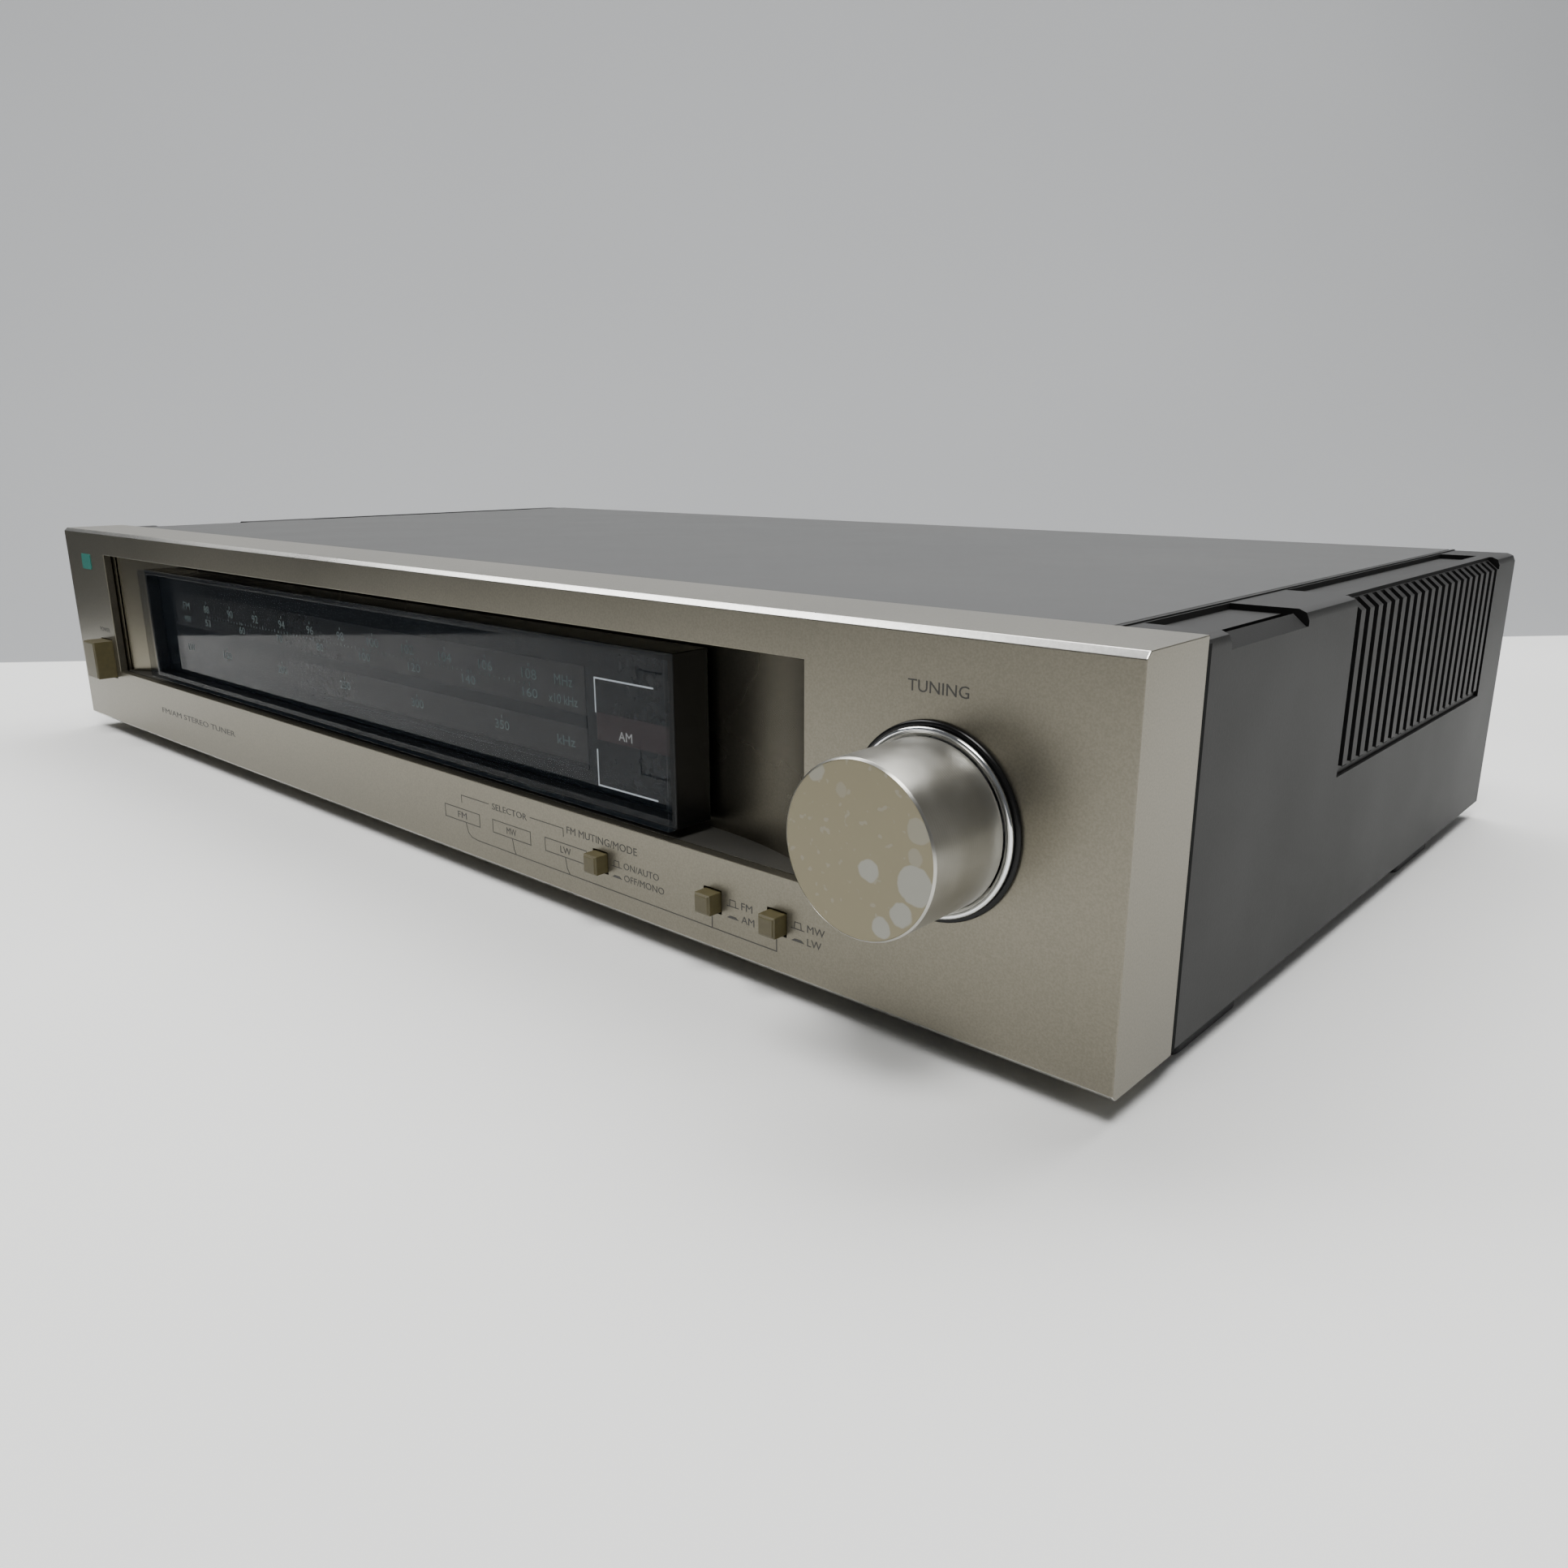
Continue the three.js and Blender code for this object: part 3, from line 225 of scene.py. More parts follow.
def blended(material, factor, first, second, mode="MIX"):
    """Mixes two colours; the factor is a number or an output."""
    node = material.node_tree.nodes.new("ShaderNodeMix")
    node.data_type = "RGBA"
    node.blend_type = mode
    for socket, value in (("Factor", factor), ("A", first), ("B", second)):
        target = next(s for s in node.inputs if s.name == socket and s.enabled)
        if isinstance(value, float):
            target.default_value = value
        else:
            material.node_tree.links.new(value, target)
    return next(s for s in node.outputs if s.enabled)


def colour_from(material, shader, colour):
    material.node_tree.links.new(colour, shader.inputs["Base Color"])


def roughness_from(material, shader, value):
    material.node_tree.links.new(value, shader.inputs["Roughness"])


def bump(material, shader, height, strength, depth_mm):
    node = material.node_tree.nodes.new("ShaderNodeBump")
    node.inputs["Strength"].default_value = strength
    node.inputs["Distance"].default_value = depth_mm * MM
    material.node_tree.links.new(height, node.inputs["Height"])
    material.node_tree.links.new(node.outputs["Normal"], shader.inputs["Normal"])


def stage_cloth():
    material, shader = principled("stage_cloth", roughness=0.85)
    # painted shade: soft lighter and darker patches standing for the shading of gentle folds
    fold_painted_shade = noise(material, 5, detail=2)
    colour_from(material, shader, ramp(material, fold_painted_shade, (0.3, (0.82, 0.82, 0.80)), (0.7, (0.88, 0.88, 0.86))))
    return material


def wall_paint():
    material, shader = principled("wall_paint", roughness=0.9)
    shade = noise(material, 1.5, detail=2)
    colour_from(material, shader, ramp(material, shade, (0.3, (0.28, 0.285, 0.29)), (0.7, (0.30, 0.305, 0.31))))
    return material


def speckled(name, dark, light, grain, roughness, metallic=0.0, bump_mm=0.02, **values):
    """Two near tones broken up by a fine grain over a slow drift, with the grain in the bump as well."""
    material, shader = principled(name, metallic=metallic, **values)
    fine = noise(material, grain)
    slow = noise(material, 14, detail=4)
    tone = ramp(material, slow, (0.3, dark), (0.7, light))
    flecks = ramp(material, fine, (0.35, (0.86, 0.86, 0.86)), (0.65, (1, 1, 1)))
    colour_from(material, shader, blended(material, 1.0, tone, flecks, "MULTIPLY"))
    roughness_from(material, shader, spread(material, slow, roughness[0], roughness[1]))
    if bump_mm:
        bump(material, shader, fine, 0.35, bump_mm)
    return material


def fascia_silver():
    return speckled(
        "fascia_silver", (0.200, 0.186, 0.146), (0.220, 0.204, 0.161), 2600, (0.31, 0.37), metallic=0.88,
        bump_mm=0.012,
    )


# Painted light: a paler copy of the fascia silver for the top face, standing for the extra light that falls on it.
def fascia_top():
    return speckled(
        "fascia_top", (0.285, 0.270, 0.232), (0.310, 0.294, 0.254), 2600, (0.31, 0.37), metallic=0.88, bump_mm=0.012,
    )


# Painted highlight: a near-white metal for the chamfers along the top and bottom of the face, standing for the gleam
# of the lamps in them.
def cut_edge():
    return speckled(
        "cut_edge", (0.66, 0.65, 0.61), (0.72, 0.71, 0.67), 1500, (0.24, 0.32), metallic=1.0, bump_mm=0.004,
    )


def tray_silver():
    return speckled(
        "tray_silver", (0.225, 0.208, 0.163), (0.245, 0.226, 0.178), 2600, (0.24, 0.30), metallic=1.0, bump_mm=0.006,
    )


def turned_aluminium():
    """Bright turned metal; the rings of tool marks are grooves in the piece itself."""
    material, shader = principled("knob_aluminium", metallic=0.95, Anisotropic=0.65, Anisotropic_Rotation=0.25)
    tangent = material.node_tree.nodes.new("ShaderNodeTangent")
    tangent.direction_type = "RADIAL"
    tangent.axis = "Y"
    material.node_tree.links.new(tangent.outputs["Tangent"], shader.inputs["Tangent"])
    haze = noise(material, 200, detail=4)
    colour_from(material, shader, ramp(material, haze, (0.3, (0.43, 0.42, 0.38)), (0.7, (0.47, 0.46, 0.42))))
    roughness_from(material, shader, spread(material, haze, 0.30, 0.36))
    return material


def wobbled_position(material, scale, reach_mm):
    """Object coordinates pushed about by noise, so that shapes made from them have uneven edges."""
    tree = material.node_tree
    coordinates = tree.nodes.new("ShaderNodeTexCoord")
    texture = tree.nodes.new("ShaderNodeTexNoise")
    texture.inputs["Scale"].default_value = scale
    push = tree.nodes.new("ShaderNodeVectorMath")
    push.operation = "MULTIPLY_ADD"
    push.inputs[1].default_value = (reach_mm * MM,) * 3
    tree.links.new(coordinates.outputs["Object"], texture.inputs["Vector"])
    tree.links.new(texture.outputs["Color"], push.inputs[0])
    tree.links.new(coordinates.outputs["Object"], push.inputs[2])
    return push.outputs["Vector"]


def patch(material, position, centre, radius_mm, strength):
    """A round patch with a soft edge: strength inside it, 0 outside."""
    tree = material.node_tree
    distance = tree.nodes.new("ShaderNodeVectorMath")
    distance.operation = "DISTANCE"
    distance.inputs[1].default_value = centre
    edge = tree.nodes.new("ShaderNodeMapRange")
    edge.inputs["From Min"].default_value = (radius_mm - 0.12) * MM
    edge.inputs["From Max"].default_value = (radius_mm + 0.12) * MM
    edge.inputs["To Min"].default_value = strength
    edge.inputs["To Max"].default_value = 0
    tree.links.new(position, distance.inputs[0])
    tree.links.new(distance.outputs["Value"], edge.inputs["Value"])
    return edge.outputs["Result"]


def highest(material, values):
    tree = material.node_tree
    top = values[0]
    for value in values[1:]:
        node = tree.nodes.new("ShaderNodeMath")
        node.operation = "MAXIMUM"
        tree.links.new(top, node.inputs[0])
        tree.links.new(value, node.inputs[1])
        top = node.outputs["Value"]
    return top


def stained_face():
    """The knob's front: a yellowed film over the metal, worn through in round pale patches near the rim."""
    material, shader = principled("knob_face", metallic=0.35)
    haze = noise(material, 90, detail=5)
    film = ramp(material, haze, (0.3, (0.205, 0.183, 0.115)), (0.7, (0.235, 0.208, 0.135)))
    bare = ramp(material, haze, (0.3, (0.27, 0.267, 0.23)), (0.7, (0.30, 0.297, 0.26)))
    position = wobbled_position(material, 350, 1.2)
    centre = axis_point("tuning_knob")
    centre.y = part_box("tuning_knob")[0].y
    middle = centre + Vector((0.6, 0.6, 0.6)) * MM  # the wobble's own mean shift
    worn = [
        ((11.2, -2.9), 3.2, 1.0), ((2.4, -2.7), 1.9, 1.0), ((8.6, -8.2), 2.1, 1.0), ((5.1, -11.2), 1.7, 1.0),
        ((-8.2, 11.4), 1.7, 0.7), ((-3.2, 9.2), 1.1, 0.35), ((11.6, 5.6), 2.0, 0.5), ((11.0, 1.4), 1.3, 0.45),
    ]
    patches = [
        patch(material, position, middle + Vector((x, 0, z)) * MM, radius, strength)
        for (x, z), radius, strength in worn
    ]
    specks = spread(material, noise(material, 700, detail=1), -2.4, 0.42)
    factor = highest(material, patches + [specks])
    colour_from(material, shader, blended(material, factor, film, bare))
    roughness_from(material, shader, spread(material, haze, 0.42, 0.6))
    return material


def polished_chrome():
    material, shader = principled("trim_chrome", metallic=1.0)
    haze = noise(material, 300, detail=4)
    colour_from(material, shader, ramp(material, haze, (0.3, (0.78, 0.79, 0.80)), (0.7, (0.88, 0.89, 0.90))))
    roughness_from(material, shader, spread(material, haze, 0.05, 0.12))
    return material


def painted_steel():
    return speckled(
        "case_grey", (0.038, 0.038, 0.037), (0.048, 0.048, 0.046), 1500, (0.40, 0.48), bump_mm=0.03,
        Specular_IOR_Level=0.6,
    )


# Painted shade: a near-black with almost no sheen, for faces and strips where shadow falls.
def deep_shade():
    return speckled(
        "painted_shade_black", (0.006, 0.006, 0.006), (0.010, 0.010, 0.010), 900, (0.6, 0.7), bump_mm=0.01,
        Specular_IOR_Level=0.04,
    )


# Painted shade: a darker copy of the tray silver for the recess floor under the dial, where shade falls.
def tray_floor():
    return speckled("tray_floor", (0.13, 0.125, 0.11), (0.16, 0.155, 0.14), 2600, (0.3, 0.4), metallic=0.7)


def satin_metal():
    return speckled("satin_metal", (0.60, 0.59, 0.55), (0.66, 0.65, 0.61), 1500, (0.36, 0.46), metallic=0.9)


def moulded_plastic():
    return speckled(
        "moulded_black", (0.0115, 0.0115, 0.011), (0.015, 0.015, 0.014), 1900, (0.50, 0.60), bump_mm=0.05,
        Specular_IOR_Level=0.32,
    )


def bezel_black():
    return speckled(
        "bezel_black", (0.004, 0.004, 0.004), (0.006, 0.006, 0.006), 900, (0.2, 0.26), bump_mm=0.003,
        Specular_IOR_Level=0.22,
    )


def gloss_plastic():
    return speckled("gloss_black", (0.010, 0.010, 0.011), (0.014, 0.014, 0.015), 900, (0.16, 0.24), bump_mm=0.004)


def khaki_plastic():
    return speckled("button_khaki", (0.074, 0.062, 0.025), (0.088, 0.074, 0.031), 700, (0.42, 0.55), bump_mm=0.01)


def smoked(name, roughness, **values):
    material, shader = principled(name, roughness=roughness, **values)
    haze = noise(material, 60, detail=5)
    colour_from(material, shader, ramp(material, haze, (0.3, (0.010, 0.014, 0.019)), (0.7, (0.013, 0.018, 0.024))))
    return material


def smoked_acrylic():
    return smoked("smoked_glass", 0.03, Alpha=0.42, Specular_IOR_Level=0.36)


def smoked_pane():
    """The clear part of the window: the sheen that shows in it comes from the lacquered dial behind."""
    return smoked("smoked_pane", 0.3, Alpha=0.11, Specular_IOR_Level=0.0)


def lacquered(name, dark, light, grain):
    return speckled(name, dark, light, grain, (0.03, 0.04), bump_mm=0, Specular_IOR_Level=0.22)


def dial_plate():
    return lacquered("dial_plate", (0.007, 0.009, 0.011), (0.010, 0.012, 0.014), 600)


def dial_field():
    return lacquered("dial_field", (0.025, 0.026, 0.027), (0.033, 0.034, 0.035), 800)


def amber_band():
    return lacquered("amber_band", (0.027, 0.018, 0.020), (0.033, 0.023, 0.025), 800)


def printed_ink(name, dark, light):
    return speckled(name, dark, light, 2400, (0.45, 0.6), bump_mm=0.002)


def zinc_steel():
    return speckled("zinc_steel", (0.42, 0.43, 0.44), (0.58, 0.59, 0.60), 500, (0.3, 0.45), metallic=0.95)


def nickel_plate():
    return speckled("nickel_plate", (0.56, 0.55, 0.52), (0.66, 0.65, 0.62), 700, (0.16, 0.28), metallic=1.0)


def brass_metal():
    return speckled("brass", (0.47, 0.33, 0.12), (0.56, 0.40, 0.16), 500, (0.28, 0.4), metallic=0.95)


def plain_plastic(name, dark, light):
    return speckled(name, dark, light, 800, (0.4, 0.52), bump_mm=0.01)


def heat_sink_black():
    return speckled("heat_sink_black", (0.020, 0.020, 0.020), (0.030, 0.030, 0.030), 900, (0.4, 0.5))


def ferrite_rod():
    return speckled("ferrite", (0.028, 0.029, 0.032), (0.040, 0.041, 0.044), 900, (0.45, 0.6))


def soft_rubber():
    return speckled("foot_rubber", (0.016, 0.016, 0.016), (0.022, 0.022, 0.022), 1300, (0.72, 0.86), bump_mm=0.05)


def copper_wire():
    material, shader = principled("transformer_copper", metallic=0.9)
    turns = noise(material, 700, detail=2, stretch=(8, 1, 1))
    colour_from(material, shader, ramp(material, turns, (0.35, (0.35, 0.13, 0.05)), (0.65, (0.62, 0.28, 0.13))))
    roughness_from(material, shader, spread(material, turns, 0.28, 0.4))
    bump(material, shader, turns, 0.5, 0.1)
    return material


def resin_board():
    """Brown board: solder mask with a lighter web of copper tracks under it."""
    material, shader = principled("board_resin", roughness=0.45)
    cells = noise(material, 160, detail=1)
    colour_from(material, shader, ramp(
        material, cells, (0.42, (0.20, 0.13, 0.055)), (0.46, (0.30, 0.21, 0.10)), (0.52, (0.22, 0.15, 0.07)),
    ))
    bump(material, shader, cells, 0.3, 0.05)
    return material


MATERIALS = {
    "silver": fascia_silver(),
    # painted light: the paler copy of the silver for the fascia's top face
    "silver_top_painted_light": fascia_top(),
    # painted highlight for the fascia's front chamfers
    "cut_edge": cut_edge(),
    "tray": tray_silver(),
    "aluminium": turned_aluminium(),
    "face": stained_face(),
    "chrome": polished_chrome(),
    "satin": satin_metal(),
    # painted shade for the recess floor
    "tray_floor": tray_floor(),
    # painted shade for pockets, vents and the strips at the fascia's joints
    "deep": deep_shade(),
    "bezel": bezel_black(),
    "case": painted_steel(),
    "moulded": moulded_plastic(),
    "gloss": gloss_plastic(),
    "khaki": khaki_plastic(),
    "glass": smoked_acrylic(),
    "pane": smoked_pane(),
    "plate": dial_plate(),
    "field": dial_field(),
    "amber": amber_band(),
    "ink": printed_ink("dark_ink", (0.030, 0.028, 0.026), (0.042, 0.040, 0.036)),
    "dial_ink": printed_ink("dial_ink", (0.085, 0.120, 0.120), (0.110, 0.150, 0.150)),
    "glass_ink": printed_ink("glass_ink", (0.36, 0.40, 0.44), (0.42, 0.46, 0.50)),
    "pale_ink": printed_ink("pale_ink", (0.34, 0.35, 0.35), (0.42, 0.43, 0.43)),
    "teal": printed_ink("teal_ink", (0.008, 0.13, 0.105), (0.012, 0.16, 0.13)),
    "zinc": zinc_steel(),
    "nickel": nickel_plate(),
    "brass": brass_metal(),
    "white": plain_plastic("white_plastic", (0.60, 0.59, 0.54), (0.68, 0.67, 0.62)),
    "red": plain_plastic("pointer_red", (0.50, 0.035, 0.018), (0.60, 0.050, 0.026)),
    "blue": plain_plastic("capacitor_blue", (0.020, 0.045, 0.105), (0.028, 0.058, 0.130)),
    "sink": heat_sink_black(),
    "ferrite": ferrite_rod(),
    "rubber": soft_rubber(),
    "copper": copper_wire(),
    "board": resin_board(),
}


# ---------------------------------------------------------------- making pieces

def add_piece(name, bm, material, body, sharp=20):
    """Turns bm into an object that rides on a body; edges sharper than sharp degrees stay crisp."""
    bmesh.ops.recalc_face_normals(bm, faces=bm.faces)
    mesh = bpy.data.meshes.new(name)
    bm.to_mesh(mesh)
    bm.free()
    mesh.polygons.foreach_set("use_smooth", [True] * len(mesh.polygons))
    mesh.set_sharp_from_angle(angle=math.radians(sharp))
    mesh.materials.append(MATERIALS[material])
    obj = bpy.data.objects.new(name, mesh)
    bpy.context.scene.collection.objects.link(obj)
    even_shading(obj)
    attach(obj, body)
    return obj


def even_shading(obj):
    """Keeps large flat faces flat beside their rounded edges."""
    modifier = obj.modifiers.new("even_shading", "WEIGHTED_NORMAL")
    modifier.keep_sharp = True


def recolour(obj, material, chosen):
    """Gives the faces that chosen picks a second material."""
    obj.data.materials.append(MATERIALS[material])
    index = len(obj.data.materials) - 1
    for polygon in obj.data.polygons:
        if chosen(polygon):
            polygon.material_index = index


def refined(node, material, bevel=0.2, segments=2, sharp=20):
    """A copy of a CAD node with its flat faces made whole and its edges rounded off; it stands for the node."""
    bm = bmesh.new()
    bm.from_mesh(NODES[node].data)
    bmesh.ops.remove_doubles(bm, verts=bm.verts, dist=0.001 * MM)
    bmesh.ops.dissolve_limit(bm, angle_limit=math.radians(0.5), verts=bm.verts, edges=bm.edges)
    edges = [e for e in bm.edges if e.is_manifold and e.calc_face_angle(0) > math.radians(25)]
    bmesh.ops.bevel(
        bm, geom=edges, offset=bevel * MM, offset_type="OFFSET", segments=segments, profile=0.5,
        affect="EDGES", clamp_overlap=True,
    )
    obj = add_piece(f"{node}_body", bm, material, NODES[node]["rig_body"], sharp)
    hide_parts(node)
    return obj


def lathe(profile, centre, sides=96):
    """A closed round body about an axis through centre, front to rear; the profile lists (radius, depth)."""
    bm = bmesh.new()

    def ring(radius, depth):
        if radius < 1e-6:
            corners = [(0.0, 0.0)]
        else:
            turns = [2 * math.pi * i / sides for i in range(sides)]
            corners = [(radius * math.cos(a), radius * math.sin(a)) for a in turns]
        return [bm.verts.new(centre + Vector((x, depth, z)) * MM) for x, z in corners]

    closed = profile[0] == profile[-1] and profile[0][0] > 0
    rings = [ring(r, y) for r, y in (profile[:-1] if closed else profile)]
    pairs = list(zip(rings, rings[1:] + rings[:1])) if closed else list(zip(rings, rings[1:]))
    for a, b in pairs:
        for i in range(sides):
            j = (i + 1) % sides
            if len(a) == 1 and len(b) > 1:
                bm.faces.new((a[0], b[i], b[j]))
            elif len(b) == 1 and len(a) > 1:
                bm.faces.new((a[i], b[0], a[j]))
            elif len(a) > 1:
                bm.faces.new((a[i], b[i], b[j], a[j]))
    return bm


def rectangle(left, right, low, high):
    return [(left, low), (right, low), (right, high), (left, high)]


def slab(corners, front, back):
    """A flat plate: an outline of (x, z) corners on the fascia, from depth front to depth back."""
    bm = bmesh.new()
    near = [bm.verts.new(at(x, front, z)) for x, z in corners]
    far = [bm.verts.new(at(x, back, z)) for x, z in corners]
    bm.faces.new(near)
    bm.faces.new(list(reversed(far)))
    for i in range(len(corners)):
        j = (i + 1) % len(corners)
        bm.faces.new((near[i], far[i], far[j], near[j]))
    return bm


def merged(parts):
    bm = bmesh.new()
    for part in parts:
        mesh = bpy.data.meshes.new("part")
        part.to_mesh(mesh)
        part.free()
        bm.from_mesh(mesh)
        bpy.data.meshes.remove(mesh)
    return bm


INK = 0.03  # how far printing stands out of the surface it is on
INK_ROOT = 0.02  # how far it reaches into that surface


def stroke(points, width, surface=0.0):
    """Printed line along (x, z) points on the plane y = surface, with mitred corners."""
    normals = []
    for a, b in zip(points, points[1:]):
        direction = Vector((b[0] - a[0], b[1] - a[1])).normalized()
        normals.append(Vector((-direction.y, direction.x)))
    left, right = [], []
    for i, point in enumerate(points):
        before = normals[max(i - 1, 0)]
        after = normals[min(i, len(normals) - 1)]
        mitre = (before + after).normalized()
        offset = mitre * (width / 2 / max(mitre.dot(after), 0.5))
        left.append((point[0] + offset.x, point[1] + offset.y))
        right.append((point[0] - offset.x, point[1] - offset.y))
    return slab(left + right[::-1], surface - INK, surface + INK_ROOT)


def frame_outline(left, right, low, high, width, surface=0.0):
    """The four printed sides of a box."""
    h = width / 2
    bars = [
        (left - h, right + h, low - h, low + h), (left - h, right + h, high - h, high + h),
        (left - h, left + h, low + h, high - h), (right - h, right + h, low + h, high - h),
    ]
    return [slab(rectangle(*bar), surface - INK, surface + INK_ROOT) for bar in bars]


def lettering(words, left, right, low, high, surface=0.0, facing_rear=False):
    """Words fitted between left and right, standing from low to high, on the plane y = surface."""
    curve = bpy.data.curves.new("words", "FONT")
    curve.body = words
    curve.extrude = 0.5
    curve.resolution_u = 3
    carrier = bpy.data.objects.new("words", curve)
    bpy.context.scene.collection.objects.link(carrier)
    bpy.context.view_layer.update()
    mesh = bpy.data.meshes.new_from_object(carrier.evaluated_get(bpy.context.evaluated_depsgraph_get()))
    bpy.data.objects.remove(carrier)
    bpy.data.curves.remove(curve)
    bm = bmesh.new()
    bm.from_mesh(mesh)
    bpy.data.meshes.remove(mesh)
    bmesh.ops.remove_doubles(bm, verts=bm.verts, dist=1e-5)
    xs = [v.co.x for v in bm.verts]
    zs = [v.co.y for v in bm.verts]
    for vert in bm.verts:
        u = (vert.co.x - min(xs)) / (max(xs) - min(xs))
        w = (vert.co.y - min(zs)) / (max(zs) - min(zs))
        proud = vert.co.z > 0
        if facing_rear:
            x = right - u * (right - left)
            y = surface + (INK if proud else -INK_ROOT)
        else:
            x = left + u * (right - left)
            y = surface - (INK if proud else -INK_ROOT)
        vert.co = at(x, y, low + w * (high - low))
    return bm


# ---------------------------------------------------------------- fascia, tray and dial

def dress_fascia():
    """Satin front and ends, with painted light on the fascia: a paler copy of the silver on the top face, and a
    painted highlight all along the chamfers at the top and bottom of the face.
    """
    fascia = refined("front_fascia", "silver", bevel=0.18)
    top = at(0, 0, 70).z
    # painted light: the top face gets the paler copy of the silver
    recolour(fascia, "silver_top_painted_light", lambda face: face.normal.z > 0.9 and face.center.z > top)
    # painted highlight: the front chamfers get the near-white metal
    recolour(fascia, "cut_edge", lambda face: face.normal.y < -0.4 and abs(face.normal.z) > 0.4)


def dress_tray():
    """The swept recess: bright end walls and back, and painted shade on the floor, a darker copy of the silver."""
    tray = refined("recess_tray", "tray", bevel=0.05, segments=1, sharp=30)
    floor = at(0, 0, span("recess_tray")[0].z + 2).z
    # painted shade: the up-facing floor faces of the recess get the darker copy
    recolour(tray, "tray_floor", lambda face: face.normal.z > 0.9 and face.center.z < floor)


def dress_dial():
    refined("dial_housing", "bezel", bevel=0.2)
    glass = refined("dial_glass", "glass", bevel=0.15)
    recolour(glass, "pane", lambda face: abs(face.normal.y) > 0.99)
    refined("dial_scale", "plate", bevel=0.1)


SCALE_FACE = span("dial_scale")[0].y  # the front of the dial plate
FIELD_FACE = SCALE_FACE - 0.05  # the front of the paler fields printed on it


def dial_fields():
    """A pale field behind the numbers, two dark bands across it, and an amber one behind AM."""
    left, right = -136.0, 82.5
    root = SCALE_FACE + 0.02
    add_piece(
        "dial_field", slab(rectangle(left, right, 28.7, 52.2), FIELD_FACE, root), "field", "cabinet",
    )
    bands = [
        slab(rectangle(left, right, low, high), SCALE_FACE - 0.09, SCALE_FACE)
        for low, high in ((38.3, 41.2), (28.9, 30.1))
    ]
    add_piece("dial_dark_bands", merged(bands), "plate", "cabinet")
    amber = slab(rectangle(86, 112, 36.4, 42.6), FIELD_FACE, root)
    add_piece("dial_amber_band", amber, "amber", "cabinet")


def even_marks(values, left, right):
    """Places for values that divide left..right evenly."""
    step = (right - left) / (len(values) - 1)
    return [(value, left + i * step) for i, value in enumerate(values)]


def dial_numbers():
    rows = [
        ("fm", range(88, 110, 2), 46.9, 49.3, -112, 62),
        ("mw", (53, 60, 70, 80, 100, 120, 140, 160), 42.6, 44.8, -112, 62),
        ("lw", (150, 200, 250, 300, 350), 33.2, 35.4, -100, 50),
    ]
    surface = FIELD_FACE
    for name, values, low, high, left, right in rows:
        parts = []
        for value, x in even_marks(list(values), left, right):
            half = 0.95 * len(str(value))  # half the width of the printed number
            parts.append(lettering(str(value), x - half, x + half, low, high, surface))
            parts.append(stroke([(x, high + 0.5), (x, high + 1.3)], 0.3, surface))
        add_piece(f"dial_numbers_{name}", merged(parts), "dial_ink", "cabinet")
    units = [
        lettering("FM", -130, -125, 46.9, 49.3, surface), lettering("MW", -130, -125, 42.6, 44.8, surface),
        lettering("LW", -130, -125, 33.2, 35.4, surface), lettering("MHz", 71.5, 78, 46.9, 49.3, surface),
        lettering("x10 kHz", 69, 79.5, 42.6, 44.8, surface), lettering("kHz", 71.5, 78, 33.2, 35.4, surface),
    ]
    add_piece("dial_units", merged(units), "dial_ink", "cabinet")


def fine_scale():
    """Short ticks between the two upper rows of numbers, every fourth one taller."""
    ticks = []
    count, left, right, half, foot = 88, -112, 62, 0.09, 45.4
    for i in range(count + 1):
        x = left + (right - left) * i / count
        tall = 0.9 if i % 4 == 0 else 0.5
        outline = rectangle(x - half, x + half, foot, foot + tall)
        ticks.append(slab(outline, FIELD_FACE - INK, FIELD_FACE + INK_ROOT))
    add_piece("dial_ticks", merged(ticks), "dial_ink", "cabinet")


def glass_brackets():
    """Two printed corner brackets on the right of the glass, with AM between them."""
    upper = stroke([(93.2, 44.5), (93.2, 51.9), (111.6, 51.9)], 0.32)
    lower = stroke([(93.2, 36.5), (93.2, 28.6), (112.0, 28.6)], 0.32)
    add_piece("glass_brackets", merged([upper, lower]), "glass_ink", "cabinet")
    words = lettering("AM", 93.2, 97.6, 37.3, 39.3, FIELD_FACE)
    add_piece("indicator_am", words, "pale_ink", "cabinet")


# ---------------------------------------------------------------- printing on the fascia

LINE = 0.22  # width of the printed lines


def tuning_word():
    add_piece("word_tuning", lettering("TUNING", 174.1, 186.0, 59.8, 61.8), "ink", "cabinet")


def selector_diagram():
    """Bracket, three boxes and the line that ties them to the two band buttons."""
    parts = [
        stroke([(39.2, 13.95), (39.2, 15.9), (50.8, 15.9)], LINE),
        stroke([(67.2, 15.9), (79.6, 15.9), (79.6, 13.95)], LINE),
        stroke([(144.65, 8.4), (144.65, 5.05), (45.2, 5.4), (42.6, 5.7), (41.2, 6.7), (40.4, 9.1)], LINE),
        stroke([(59.7, 9.1), (60.2, 6.6), (60.9, 5.35)], LINE),
        stroke([(79.9, 9.1), (80.4, 6.6), (81.3, 5.28)], LINE),
        stroke([(127.1, 8.4), (127.1, 5.1)], LINE),
    ]
    for left in (31.5, 52.0, 72.6):
        parts += frame_outline(left, left + 15, 9.1, 12.3, LINE)
    add_piece("selector_lines", merged(parts), "ink", "cabinet")
    words = [lettering("SELECTOR", 52.2, 66.0, 14.85, 16.4)]
    for word, left in (("FM", 31.5), ("MW", 52.0), ("LW", 72.6)):
        words.append(lettering(word, left + 5.6, left + 9.4, 9.9, 11.5))
    add_piece("selector_words", merged(words), "ink", "cabinet")


